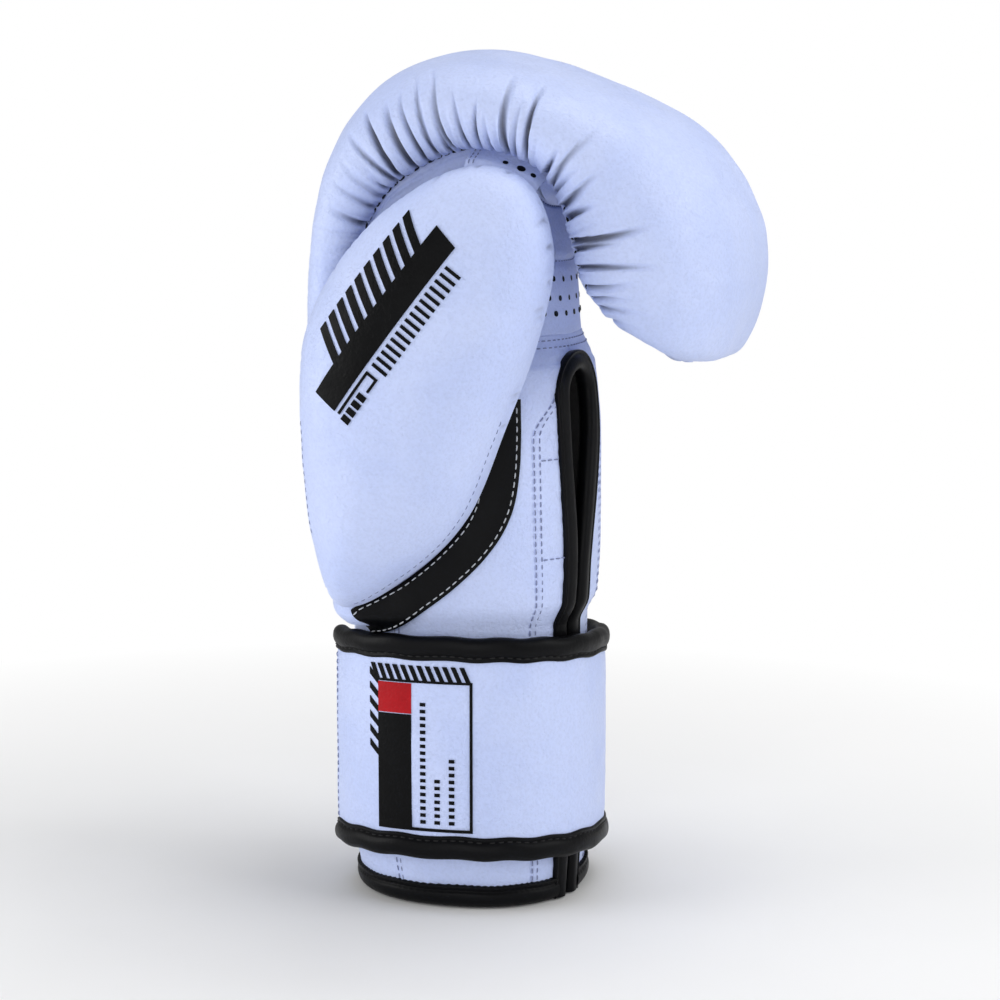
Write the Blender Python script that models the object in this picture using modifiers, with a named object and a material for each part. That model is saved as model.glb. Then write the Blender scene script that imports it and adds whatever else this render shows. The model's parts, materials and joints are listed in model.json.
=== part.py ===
"""A left-hand boxing glove with a hook-and-loop wrist strap, as an assembly of separate sewn pieces.

Frame: origin on the underside of the cuff's hem, in the middle of its back, where the glove stands on
a table; +Z along the forearm towards the knuckles, +X towards the palm, -Y towards the thumb. The
pieces are drawn about the cuff's centre and moved to that origin together. Lengths are in metres. Run
it with blender --background --python part.py
"""

import math

import bmesh
import bpy
import numpy as np
from mathutils import Vector

MM = 0.001

CUFF_CENTRE = Vector((33.35 * MM, 0, 0))     # from the frame's origin

# Driving dimensions
LEATHER = 1.5 * MM              # shell leather, with its backing
LINING = 1.0 * MM               # lining fabric
GAP = 0.35 * MM                 # between pieces that are sewn or glued together
PADDING_GAP = 0.8 * MM          # between the roll's leather and its foam
HEM_HEIGHT = 7.0 * MM           # bias binding round the cuff's hem
CUFF_TOP = 103.0 * MM           # where the padding over the back of the hand begins
PANEL_TOP = 195.5 * MM          # seam between the wrist panel and the perforated palm panel
PALM_TOP = 233.0 * MM           # crease under the curled fingers
LINING_TOP = 243.0 * MM
SEAM_ANGLE = 110.0              # side seams of the wrist panel, in degrees from +X
SLIT_ANGLE = 18.0               # the opening's middle, in degrees from +X towards the thumb
SLIT_TOP = 188.0 * MM           # centre line of the binding at the opening's top
SLIT_NARROW = 3.8 * MM          # half the distance between the binding's two legs, at the cuff
SLIT_WIDE = 11.0 * MM           # and the same near its top
BINDING_RADIUS = 3.1 * MM
BINDING_DEPTH = 2.6 * MM        # its centre line, under the outer face of the leather
BINDING_FOOT = 0.3 * MM         # its two ends stop just above the hem's underside
STRAP_LOW, STRAP_HIGH = 15.0 * MM, 92.0 * MM
STRAP_BINDING = 7.5 * MM        # visible height of the strap's bias binding
STRAP_STAND_OFF = 3.9 * MM      # strap's inner face above the cuff leather
STRAP_THICK = 2.4 * MM
STRAP_SLOPE = math.tan(math.radians(0.3))    # the strap rises towards the palm
STRAP_TILT = math.tan(math.radians(5.0))     # and towards the thumb
STRAP_START, STRAP_END = 58.0, -153.0        # degrees from +X, thumb side negative
STRAP_HINGES = (20.0, -45.0, -100.0)         # where the flexible strap is split into links
PATCH_START, PATCH_END = -117.0, -200.0      # loop patch on the back of the cuff
HOOK_END = -151.0

# Outer leather of the hand tube, about the cuff's centre: height, centre x, half width in x, half width in y (mm)
TUBE = (
    (0, 1.0, 38.5, 37.5),
    (8, 0.5, 39.5, 38.5),
    (18, 0.0, 40.5, 39.5),
    (97, 0.0, 40.5, 39.5),
    (106, 0.5, 43.8, 42.2),
    (132, 0.0, 45.0, 46.0),
    (160, 0.0, 44.7, 48.2),
    (184, -0.5, 43.0, 49.0),
    (205, -1.0, 41.0, 49.0),
    (228, -1.0, 38.5, 46.5),
    (250, -1.0, 33.0, 43.0),
)
# Hand cavity, the inner face of the lining: height, centre x, half width in x, half width in y (mm)
CAVITY = (
    (0, 0.5, 28.5, 28.0),
    (18, 0.0, 29.5, 29.0),
    (97, 0.0, 30.0, 29.5),
    (112, 2.0, 28.5, 33.0),
    (132, 5.0, 27.0, 38.0),
    (160, 6.0, 26.0, 41.0),
    (195, 5.0, 26.5, 41.5),
    (228, 4.0, 25.5, 40.5),
    (250, 3.0, 20.0, 37.0),
)
LEVELS = (18, 97, 103, 108, 118, 132, 148, 162, 176, 195.5, 212, 228, 236)
STEP_ANGLE = 9.0                # every piece of the tube shares these levels and angles
SQUARENESS = 2.3                # exponent of the superellipse sections

# The padded roll over the back of the hand and the fingers. Each station is a section plane that
# holds the Y axis and runs from the side seam to the outer skin: outer x, z, seam x, z, half width
# of the roll, half width at the seam, distance from the seam to the padding's inner face (mm).
ROLL = (
    (-42.5, 104, -18.8, 104, 40, 39, 0.5),
    (-47.5, 138, -20.5, 138, 45, 42, 0.5),
    (-49.5, 180, -23, 180, 49, 44, 0.5),
    (-47, 221, -26.5, 221, 53, 45, 0.5),
    (-38.5, 259.5, -18.5, 240.8, 56, 46, 0.5),
    (-19, 283.2, -4.5, 251.8, 58, 46, 0.5),
    (10, 290.8, 15, 257.8, 60, 46, 0.5),
    (44.5, 281.8, 35, 252.3, 61, 46, 0.5),
    (79, 264.3, 44.5, 241.8, 61, 46, 19.0),
    (97, 238, 50, 229, 60, 46, 23.0),
    (99.7, 213.5, 55, 217, 57, 45, 20.0),
    (93, 192.2, 63, 206.5, 50, 40, 13.0),
    (81.3, 189.3, 73.5, 199.5, 38, 32, 5.0),
)
SPLIT_STATION = 7               # the fist opens about the outer skin at this station
LAST_STATION = len(ROLL) - 1
SKIN_STEP = 0.45                # spacing of the sections that carry the leather and the foam
WIDEST = 0.35                   # where a section is widest, as a share of its depth from the seam
FIST_AXIS = Vector((44.5, 0, 281.8)) * MM    # outer skin of the split station, along Y
THUMB_AXIS = Vector((-30, -45.6, 106.5)) * MM
CREASE_DEPTH = 14.0 * MM        # how far the crease lies under the side seam, at the split

# Thumb: outline in the XZ plane (mm), from its foot over the palm side, the tip and the back
THUMB_OUTLINE = (
    (-29, 107), (-9, 119.5), (10, 140), (26, 169), (38.5, 198), (44, 225), (37, 247.5), (18, 254),
    (-6, 243), (-27, 222.5), (-39.5, 195), (-42, 161), (-37.5, 126),
)
THUMB_BASE_Y = -45.5            # inner face at the foot, in mm
THUMB_LEAN = 0.105              # the inner face leaves the hand by this much per mm of height
THUMB_DEPTH = 29.0 * MM         # from the inner face to the crown
THUMB_FOAM = 9.5 * MM
THUMB_HOLE = (-3.0, 150.0, 10.5, 18.0)      # centre x, z and half widths of the way in (mm)

# Materials: sRGB colour, roughness
FINISHES = {
    "leather_white": ((0.84, 0.87, 0.98), 0.48),
    "leather_black": ((0.035, 0.04, 0.055), 0.42),
    "foam": ((0.62, 0.64, 0.68), 0.9),
    "lining_black": ((0.03, 0.03, 0.035), 0.85),
    "loop_fabric": ((0.04, 0.04, 0.045), 0.95),
    "hook_plastic": ((0.05, 0.05, 0.06), 0.55),
}


def finish(name):
    """The Principled BSDF material of that name, made once."""
    material = bpy.data.materials.get(name)
    if material is None:
        colour, roughness = FINISHES[name]
        material = bpy.data.materials.new(name)
        material.use_nodes = True
        shader = material.node_tree.nodes["Principled BSDF"]
        linear = [((c + 0.055) / 1.055) ** 2.4 if c > 0.04 else c / 12.92 for c in colour]
        shader.inputs["Base Color"].default_value = (*linear, 1.0)
        shader.inputs["Roughness"].default_value = roughness
        shader.inputs["Metallic"].default_value = 0.0
        material.diffuse_color = (*linear, 1.0)
    return material


def clear_scene():
    for obj in list(bpy.data.objects):
        bpy.data.objects.remove(obj, do_unlink=True)


def collection(name):
    made = bpy.data.collections.new(name)
    bpy.context.scene.collection.children.link(made)
    return made


# Curves and surfaces ------------------------------------------------------------------------------

def smooth_path(points, at):
    """Catmull-Rom curve through rows of numbers, at parameters where row i is reached at i."""
    rows = np.asarray(points, float)
    padded = np.vstack([2 * rows[0] - rows[1], rows, 2 * rows[-1] - rows[-2]])
    found = []
    for u in np.atleast_1d(at):
        i = int(min(max(math.floor(u), 0), len(rows) - 2))
        t = u - i
        a, b, c, d = padded[i:i + 4]
        found.append(0.5 * (2 * b + (c - a) * t + (2 * a - 5 * b + 4 * c - d) * t * t
                            + (3 * b - a - 3 * c + d) * t ** 3))
    return np.array(found)


def tube_section(table, height):
    """(centre x, half width x, half width y) in metres at a height in metres, smoothed."""
    rows = np.array(table, float)
    z = height / MM
    values = []
    for column in (1, 2, 3):
        i = int(np.clip(np.searchsorted(rows[:, 0], z) - 1, 0, len(rows) - 2))
        t = np.clip((z - rows[i, 0]) / (rows[i + 1, 0] - rows[i, 0]), 0, 1)
        t = t * t * (3 - 2 * t)
        values.append(rows[i, column] * (1 - t) + rows[i + 1, column] * t)
    return np.array(values) * MM


def tube_point(table, degrees, height, stand_off=0.0):
    """A point of the tube. Angles run from +X, positive towards +Y; the thumb side is negative."""
    centre, half_x, half_y = tube_section(table, height)
    angle = math.radians(degrees)
    c, s = math.cos(angle), math.sin(angle)
    power = 2.0 / SQUARENESS
    x = centre + (half_x + stand_off) * math.copysign(abs(c) ** power, c)
    y = (half_y + stand_off) * math.copysign(abs(s) ** power, s)
    return Vector((x, y, height))


def roll_section(station, depth=0.0, floor=None, ceiling=None, count=21):
    """Points of the padded roll's section, from the thumb side over the skin to the other side.

    depth moves the points inwards, floor cuts the section off below that distance from the seam,
    and ceiling flattens it above that distance.
    """
    ox, oz, sx, sz, widest, seam, _ = smooth_path(ROLL, station)[0] * MM
    outer, inner = Vector((ox, 0, oz)), Vector((sx, 0, sz))
    height = (outer - inner).length
    up = (outer - inner).normalized()
    low = WIDEST * height
    angles = np.linspace(-math.pi, math.pi, 241)
    sine, cosine = np.sin(angles), np.cos(angles)
    upper = cosine >= 0
    power = 2.0 / SQUARENESS
    side = np.where(upper, widest * np.abs(sine) ** power, seam + (widest - seam) * np.abs(sine))
    y = np.sign(sine + 1e-12 * angles) * side
    r = np.where(upper, low + (height - low) * np.abs(cosine) ** power, low * (1 + cosine))
    if depth:
        dy, dr = np.gradient(y), np.gradient(r)
        length = np.hypot(dy, dr)
        y, r = y + depth * dr / length, r - depth * dy / length
    keep = np.ones(len(y), bool) if floor is None else r >= floor
    y, r = y[keep], r[keep]
    if floor is not None:
        tuck = min(1.5 * MM, max(r[0] - floor, 0))
        y = np.concatenate([[y[0] + tuck], y, [y[-1] - tuck]])
        r = np.concatenate([[floor], r, [floor]])
    if ceiling is not None:
        r = np.minimum(r, ceiling)
    walked = np.concatenate([[0], np.cumsum(np.hypot(np.diff(y), np.diff(r)))])
    even = np.linspace(0, walked[-1], count)
    y, r = np.interp(even, walked, y), np.interp(even, walked, r)
    return [inner + up * b + Vector((0, a, 0)) for a, b in zip(y, r)]


def padding_floor(station):
    """The padding's inner face, as a distance from the side seam."""
    return float(np.interp(station, range(len(ROLL)), [row[6] for row in ROLL])) * MM


# Mesh builders ------------------------------------------------------------------------------------

def add_object(name, mesh, material, where):
    mesh.materials.append(finish(material))
    obj = bpy.data.objects.new(name, mesh)
    where.objects.link(obj)
    mesh.shade_smooth()
    mesh.set_sharp_from_angle(angle=math.radians(40))
    return obj


def grid_mesh(name, rows, closed=False, capped=False):
    """A mesh over rows of points. closed joins each row's ends, capped fills the two end rings."""
    built = bmesh.new()
    verts = [[built.verts.new(point) for point in row] for row in rows]
    width = len(rows[0])
    for low, high in zip(verts, verts[1:]):
        for i in range(width if closed else width - 1):
            j = (i + 1) % width
            built.faces.new((low[i], low[j], high[j], high[i]))
    if capped:
        built.faces.new(list(reversed(verts[0])))
        built.faces.new(verts[-1])
    mesh = bpy.data.meshes.new(name)
    built.to_mesh(mesh)
    built.free()
    return mesh


def solid(name, rows, material, where):
    """A closed solid lofted through rings, with its faces turned outwards."""
    mesh = grid_mesh(name, rows, closed=True, capped=True)
    built = bmesh.new()
    built.from_mesh(mesh)
    bmesh.ops.recalc_face_normals(built, faces=built.faces[:])
    built.to_mesh(mesh)
    built.free()
    return add_object(name, mesh, material, where)


def sheet(name, rows, thickness, material, where, closed=False, grow=-1.0):
    """An open sheet made solid. grow -1 thickens it away from its faces' side, 1 towards it."""
    obj = add_object(name, grid_mesh(name, rows, closed=closed), material, where)
    wall = obj.modifiers.new("wall", "SOLIDIFY")
    wall.thickness = thickness
    wall.offset = grow
    wall.use_even_offset = True
    return obj


def cut(obj, cutter):
    made = obj.modifiers.new("cut_" + cutter.name, "BOOLEAN")
    made.operation = "DIFFERENCE"
    made.solver = "EXACT"
    made.object = cutter


def hide(obj):
    obj.hide_render = True
    obj.display_type = "WIRE"
    return obj


# The opening in the palm side ---------------------------------------------------------------------

SLIT_OUT = Vector((math.cos(math.radians(SLIT_ANGLE)), -math.sin(math.radians(SLIT_ANGLE)), 0))
SLIT_SIDE = Vector((math.sin(math.radians(SLIT_ANGLE)), math.cos(math.radians(SLIT_ANGLE)), 0))


def slit_half_width(height):
    """Half the distance between the two legs of the binding, in metres."""
    t = min(max((height - 112 * MM) / (62 * MM), 0), 1)
    return SLIT_NARROW + (SLIT_WIDE - SLIT_NARROW) * t * t * (3 - 2 * t)


def slit_outline(grow, low, legs=9, bend=8):
    """(sideways, height) points up one leg of the opening, round its top and down the other."""
    shoulder = SLIT_TOP - SLIT_WIDE
    heights = [low, 40 * MM, *np.linspace(97 * MM, shoulder, legs - 2)]
    one = [(-slit_half_width(h) - grow, h) for h in heights]
    turn = [(-(SLIT_WIDE + grow) * math.cos(a), shoulder + (SLIT_WIDE + grow) * math.sin(a))
            for a in np.linspace(0, math.pi, bend)[1:-1]]
    return one + turn + [(-s, h) for s, h in reversed(one)]


def slit_cutter(where):
    """A prism of the opening's outline, standing out through every layer of the palm side."""
    outline = slit_outline(BINDING_RADIUS + GAP, -20 * MM)
    rings = [[SLIT_SIDE * s + SLIT_OUT * reach + Vector((0, 0, h)) for s, h in outline]
             for reach in (12 * MM, 80 * MM)]
    return hide(solid("slit_cutter", rings, "foam", where))


def thumb_hole_cutter(where):
    x, z, half_x, half_z = (v * MM for v in THUMB_HOLE)
    rings = [[Vector((x + half_x * math.cos(a), y, z + half_z * math.sin(a)))
              for a in np.linspace(0, 2 * math.pi, 21)[:-1]] for y in (-20 * MM, -60 * MM)]
    return hide(solid("thumb_hole_cutter", rings, "foam", where))


def cavity_cutter(where):
    """The room the lined hand takes out of the padding on the back of the hand."""
    around = np.arange(0, 360, STEP_ANGLE)
    rings = tube_rows(CAVITY, levels(95 * MM, LINING_TOP + GAP), around, LINING + GAP)
    return hide(solid("cavity_cutter", rings, "foam", where))


def surface_hit(sideways, height, depth):
    """Where a line out through the opening, moved sideways, meets the hand tube at a depth."""
    centre, half_x, half_y = tube_section(TUBE, height)
    near, far = 0.0, 80 * MM
    for _ in range(40):
        reach = (near + far) / 2
        point = SLIT_SIDE * sideways + SLIT_OUT * reach
        inside = (abs((point.x - centre) / (half_x - depth)) ** SQUARENESS
                  + abs(point.y / (half_y - depth)) ** SQUARENESS) < 1
        near, far = (reach, far) if inside else (near, reach)
    return SLIT_SIDE * sideways + SLIT_OUT * near + Vector((0, 0, height))


def slit_binding(where):
    """Bias binding round the opening: a rope of folded leather in a U shape."""
    curve = bpy.data.curves.new("slit_binding", "CURVE")
    curve.dimensions = "3D"
    outline = slit_outline(0.0, BINDING_FOOT)
    spline = curve.splines.new("POLY")
    spline.points.add(len(outline) - 1)
    for target, (sideways, height) in zip(spline.points, outline):
        target.co = (*surface_hit(sideways, height, BINDING_DEPTH), 1.0)
    curve.bevel_depth = BINDING_RADIUS
    curve.bevel_resolution = 2
    curve.use_fill_caps = True
    curve.materials.append(finish("leather_black"))
    obj = bpy.data.objects.new("slit_binding", curve)
    where.objects.link(obj)
    return obj


# Cuff and palm ------------------------------------------------------------------------------------

def tube_rows(table, heights, degrees, stand_off=0.0):
    return [[tube_point(table, d, h, stand_off) for d in degrees] for h in heights]


def levels(low, high):
    """The shared levels between two heights, with the two heights themselves."""
    return [low, *(h * MM for h in LEVELS if low + 2 * MM < h * MM < high - 2 * MM), high]


def turn(start, end):
    """The shared angles between two angles in degrees, with the two angles themselves."""
    first = math.ceil((start + 1) / STEP_ANGLE)
    last = math.floor((end - 1) / STEP_ANGLE)
    return [start, *(STEP_ANGLE * i for i in range(first, last + 1)), end]


def between_surfaces(heights, degrees, outer_depth, inner_gap):
    """Rings between the leather tube and the lining, over a range of angles."""
    return [[tube_point(TUBE, d, h, -outer_depth) for d in degrees]
            + [tube_point(CAVITY, d, h, inner_gap) for d in reversed(degrees)] for h in heights]


def wall_all_round(name, heights, outer_depth, inner_gap, material, where):
    """A closed wall round the whole cuff, between the leather tube and the lining."""
    rows = []
    for d in np.arange(0, 360, STEP_ANGLE):
        rows.append([tube_point(TUBE, d, h, -outer_depth) for h in heights]
                    + [tube_point(CAVITY, d, h, inner_gap) for h in reversed(heights)])
    rows.append(rows[0])
    mesh = grid_mesh(name, rows, closed=True)
    built = bmesh.new()
    built.from_mesh(mesh)
    bmesh.ops.remove_doubles(built, verts=built.verts[:], dist=1e-7)
    bmesh.ops.recalc_face_normals(built, faces=built.faces[:])
    built.to_mesh(mesh)
    built.free()
    return add_object(name, mesh, material, where)


def build_cuff(where, slit, hole):
    low = HEM_HEIGHT + GAP
    front = turn(-SEAM_ANGLE, SEAM_ANGLE)
    panel = sheet("wrist_panel", tube_rows(TUBE, levels(low, PANEL_TOP), front), LEATHER,
                  "leather_white", where)
    cut(panel, slit)
    cut(panel, hole)

    cuff_levels = levels(low, CUFF_TOP - GAP)
    back = turn(SEAM_ANGLE + 1, 359 - SEAM_ANGLE)
    sheet("back_cuff_panel", tube_rows(TUBE, cuff_levels, back), LEATHER, "leather_white", where)

    foam = wall_all_round("cuff_foam", cuff_levels, LEATHER + GAP, LINING + GAP, "foam", where)
    cut(foam, slit)
    hem = wall_all_round("hem_binding", [0.0, HEM_HEIGHT], -1.2 * MM, 0.0, "leather_black", where)
    cut(hem, slit)
    slit_binding(where)


def build_palm(where, slit, hole):
    front = turn(4 - SEAM_ANGLE, SEAM_ANGLE - 4)
    heights = levels(CUFF_TOP + GAP, PALM_TOP - 2 * MM)
    pad = solid("palm_foam", between_surfaces(heights, front, LEATHER + GAP, LINING + GAP),
                "foam", where)
    cut(pad, slit)
    cut(pad, hole)

    sides = turn(-SEAM_ANGLE, SEAM_ANGLE)
    palm = tube_rows(TUBE, levels(PANEL_TOP + GAP, PALM_TOP), sides)
    sheet("palm_panel", palm, LEATHER, "leather_white", where)

    around = list(np.arange(0, 360, STEP_ANGLE))
    rows = tube_rows(CAVITY, levels(HEM_HEIGHT + GAP, LINING_TOP), around, LINING)
    lining = sheet("hand_lining", rows, LINING, "lining_black", where, closed=True)
    cut(lining, slit)
    cut(lining, hole)

    behind = turn(-SLIT_ANGLE - 34, -SLIT_ANGLE + 34)
    rows = tube_rows(CAVITY, levels(6 * MM, PANEL_TOP), behind, -GAP)
    sheet("slit_tongue", rows, LINING, "lining_black", where)
    grip_bar(where)


def grip_bar(where):
    """The stuffed roll that the fingers close on, across the palm."""
    radius, half_length = 7.0 * MM, 27 * MM
    built = bmesh.new()
    bmesh.ops.create_cone(built, cap_ends=True, segments=16, radius1=radius, radius2=radius,
                          depth=2 * half_length)
    mesh = bpy.data.meshes.new("grip_bar")
    built.to_mesh(mesh)
    built.free()
    bar = add_object("grip_bar", mesh, "lining_black", where)
    bar.rotation_euler = (math.radians(90), 0, 0)
    bar.location = (15.5 * MM, 0, 218 * MM)
    rounded = bar.modifiers.new("rounded_ends", "BEVEL")
    rounded.width = 3 * MM
    rounded.segments = 2
    rounded.limit_method = "ANGLE"


def trim_band(where):
    """The black accent band sewn over the wrist panel along the foot of the thumb."""
    middle = np.array([(-16, 104.7), (-8, 109.3), (-1, 114.7), (6.2, 121.5), (12, 127.9),
                       (16.3, 134.5), (19.3, 142), (20.9, 154), (21.1, 165), (20, 176)]) * MM
    width = 12.0 * MM
    rows = []
    for u in np.linspace(0, len(middle) - 1, 20):
        here = smooth_path(middle, u)[0]
        ahead = smooth_path(middle, u + 0.01)[0] - smooth_path(middle, u - 0.01)[0]
        across = np.array([ahead[1], -ahead[0]]) / np.linalg.norm(ahead)
        rows.append([on_thumb_side(here + across * width * s, 0.5 * MM + LEATHER)
                     for s in (0.5, 0.25, 0, -0.25, -0.5)])
    sheet("trim_band", rows, LEATHER, "leather_black", where)


def on_thumb_side(xz, stand_off):
    """The point over the hand tube's thumb side at that x and z."""
    centre, half_x, half_y = tube_section(TUBE, xz[1])
    share = min(abs((xz[0] - centre) / half_x), 0.999)
    y = half_y * (1 - share ** SQUARENESS) ** (1 / SQUARENESS)
    point = Vector((xz[0], -y, xz[1]))
    slope_x = abs((xz[0] - centre) / half_x) ** (SQUARENESS - 1) / half_x
    slope_y = (y / half_y) ** (SQUARENESS - 1) / half_y
    away = Vector((math.copysign(slope_x, xz[0] - centre), -slope_y, 0)).normalized()
    return point + away * stand_off


def seam_outline(first, last, inset, count):
    """Points a little under the side seam, as x and z."""
    points = []
    for u in np.linspace(first, last, count):
        ox, oz, sx, sz = smooth_path(ROLL, u)[0][:4] * MM
        down = Vector((sx - ox, sz - oz)).normalized()
        points.append(Vector((sx, sz)) + down * inset)
    return points


def side_gussets(where):
    """Flat leather pieces that close the hand's two sides inside the curl, under the side seam."""
    outline = [Vector((30.5, 235)) * MM, Vector((-20.5, 235)) * MM]
    outline += seam_outline(3.8, SPLIT_STATION - 0.06, 1.8 * MM, 14)
    for name, side in (("side_gusset_thumb", -1), ("side_gusset_little_finger", 1)):
        curve = bpy.data.curves.new(name, "CURVE")
        curve.dimensions = "2D"
        curve.fill_mode = "BOTH"
        curve.extrude = LEATHER / 2
        spline = curve.splines.new("POLY")
        spline.points.add(len(outline) - 1)
        spline.use_cyclic_u = True
        for target, point in zip(spline.points, outline):
            target.co = (point.x, point.y, 0, 1.0)
        curve.materials.append(finish("leather_white"))
        obj = bpy.data.objects.new(name, curve)
        obj.rotation_euler = (math.radians(90), 0, 0)
        obj.location = (0, side * 42.2 * MM, 0)
        where.objects.link(obj)


# Wrist strap --------------------------------------------------------------------------------------

def strap_piece(name, start, end, low, high, inner, outer, material, where):
    """A curved plate round the cuff between two angles, heights and stand-offs from the leather."""
    rings = []
    for d in turn(min(start, end), max(start, end)):
        ring = []
        for height, stand_off in ((low, inner), (low, outer), (high, outer), (high, inner)):
            around = tube_point(TUBE, d, 60 * MM, stand_off)
            rise = STRAP_SLOPE * around.x - STRAP_TILT * around.y
            ring.append(Vector((around.x, around.y, height + rise)))
        rings.append(ring)
    return solid(name, rings, material, where)


def build_strap(where):
    inner, outer = STRAP_STAND_OFF, STRAP_STAND_OFF + STRAP_THICK
    proud = 0.9 * MM
    angles = [STRAP_START, *STRAP_HINGES, STRAP_END]
    names = ("strap_anchor", "strap_link_palm", "strap_link_thumb", "strap_link_end")
    low, high = STRAP_LOW + STRAP_BINDING, STRAP_HIGH - STRAP_BINDING
    for name, start, end in zip(names, angles, angles[1:]):
        first = start - (0.5 if start != STRAP_START else 0)
        last = end + (0.5 if end != STRAP_END else 0)
        strap_piece(name, first, last, low + GAP, high - GAP, inner, outer, "leather_white", where)
        for side, z0, z1 in (("lower", STRAP_LOW, low), ("upper", high, STRAP_HIGH)):
            strap_piece(f"{name}_{side}_binding", first, last, z0, z1, inner - proud, outer + proud,
                        "leather_black", where)
    patch_low, patch_high = low + 3 * MM, high - 3 * MM
    strap_piece("loop_patch", PATCH_START, PATCH_END, patch_low, patch_high, 0.45 * MM, 1.8 * MM,
                "loop_fabric", where)
    strap_piece("hook_patch", PATCH_START - 1, HOOK_END, patch_low, patch_high, 2.15 * MM,
                3.5 * MM, "hook_plastic", where)
    strap_piece("strap_base_patch", STRAP_START - 1, STRAP_HINGES[0] + 12, patch_low, patch_high,
                0.45 * MM, 3.5 * MM, "leather_white", where)


# Padded roll over the back of the hand and the fingers ----------------------------------------------

def skin_stations(first, last):
    count = max(2, round((last - first) / SKIN_STEP) + 1)
    return np.linspace(first, last, count)


def roll_padding(name, stations, where, low=padding_floor, high=None):
    """Foam under the leather. low and high give its limits from the seam at a station."""
    rings = [roll_section(u, LEATHER + PADDING_GAP, low(u), high(u) if high else None)
             for u in stations]
    return solid(name, rings, "foam", where)


def layer_top(station):
    """Top of the inner of the two foam layers over the fingers, from the seam."""
    row = smooth_path(ROLL, station)[0] * MM
    top = math.hypot(row[0] - row[2], row[1] - row[3])
    return 0.5 * (padding_floor(station) + top)


def flat_row(station, distance, half_width, count=7):
    """Points across the roll at one distance from the seam."""
    ox, oz, sx, sz = smooth_path(ROLL, station)[0][:4] * MM
    seam = Vector((sx, 0, sz))
    up = (Vector((ox, 0, oz)) - seam).normalized()
    return [seam + up * distance + Vector((0, y, 0))
            for y in np.linspace(-half_width, half_width, count)]


def build_back(where, cavity):
    stations = skin_stations(0, SPLIT_STATION - 0.02)
    rows = [roll_section(u) for u in stations]
    sheet("back_shell", rows, LEATHER, "leather_white", where)
    foam = roll_padding("back_foam", stations, where)
    cut(foam, cavity)
    rows = [flat_row(u, 0.5 * MM - GAP, 40 * MM) for u in stations if u > 4.3]
    sheet("knuckle_lining", rows, LINING, "lining_black", where, grow=1.0)


def panel_distance(station):
    """The inner finger panel's distance from the side seam: under it only at the crease."""
    return -CREASE_DEPTH * min(max(SPLIT_STATION + 1 - station, 0), 1)


def panel_half_width(station):
    return min(smooth_path(ROLL, station)[0][5] - 2.4, 39.5 + 4 * (station - SPLIT_STATION)) * MM


def build_fingers(where):
    stations = skin_stations(SPLIT_STATION + 0.02, LAST_STATION)
    rows = [roll_section(u) for u in stations]
    sheet("finger_shell", rows, LEATHER, "leather_white", where)
    padded = stations[:-2]
    roll_padding("finger_foam_inner", padded, where, high=layer_top)
    roll_padding("finger_foam_outer", padded, where, low=lambda u: layer_top(u) + GAP)

    rows = [flat_row(u, panel_distance(u), panel_half_width(u)) for u in stations[:-1]]
    rows.append(flat_row(LAST_STATION, 1 * MM, 27 * MM))
    rows.append(flat_row(LAST_STATION, 8 * MM, 24 * MM))
    sheet("finger_inner_panel", rows, LEATHER, "leather_white", where)

    pocket = []
    for u in stations[:-3]:
        half = panel_half_width(u) - 3 * MM
        low = flat_row(u, panel_distance(u) + LEATHER + 2.2 * MM, half)
        high = flat_row(u, padding_floor(u) - 2 * GAP, half)
        pocket.append(low + high[::-1])
    sheet("finger_lining", pocket, LINING, "lining_black", where, closed=True)


# Thumb --------------------------------------------------------------------------------------------

def thumb_inner_y(z):
    return THUMB_BASE_Y * MM - THUMB_LEAN * (z - 102 * MM)


def thumb_rows(depth, inset=0.0, rings=(0.0, 0.14, 0.32, 0.55, 0.8, 1.0), count=28):
    """Rows from the thumb's outline to its crown: a dome of that depth over its inner face."""
    closed = list(THUMB_OUTLINE) + [THUMB_OUTLINE[0]]
    outline = smooth_path(closed, np.linspace(0, len(closed) - 1, count + 1)[:-1]) * MM
    middle = outline.mean(axis=0)
    away = outline - middle
    away *= 1 - inset / np.linalg.norm(away, axis=1)[:, None]
    rows = []
    for share in rings:
        angle = share * math.pi / 2
        reach, rise = math.cos(angle) ** 0.8, math.sin(angle) ** 0.9
        rows.append([Vector((x, thumb_inner_y(z) - depth * rise, z))
                     for x, z in middle + away * max(reach, 0.03)])
    return rows


def lifted(rows, distance):
    """The same rows with the first one moved off the thumb's inner face."""
    return [[point + Vector((0, -distance, 0)) for point in rows[0]]] + rows[1:]


def close_crown(mesh):
    """Fills the small ring left in the middle of a dome."""
    built = bmesh.new()
    built.from_mesh(mesh)
    rim = [edge for edge in built.edges if edge.is_boundary]
    middle = sum((v.co for e in rim for v in e.verts), Vector()) / (2 * len(rim))
    near = [edge for edge in rim if max((v.co - middle).xz.length for v in edge.verts) < 8 * MM]
    bmesh.ops.contextual_create(built, geom=near)
    bmesh.ops.recalc_face_normals(built, faces=built.faces[:])
    built.to_mesh(mesh)
    built.free()


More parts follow.
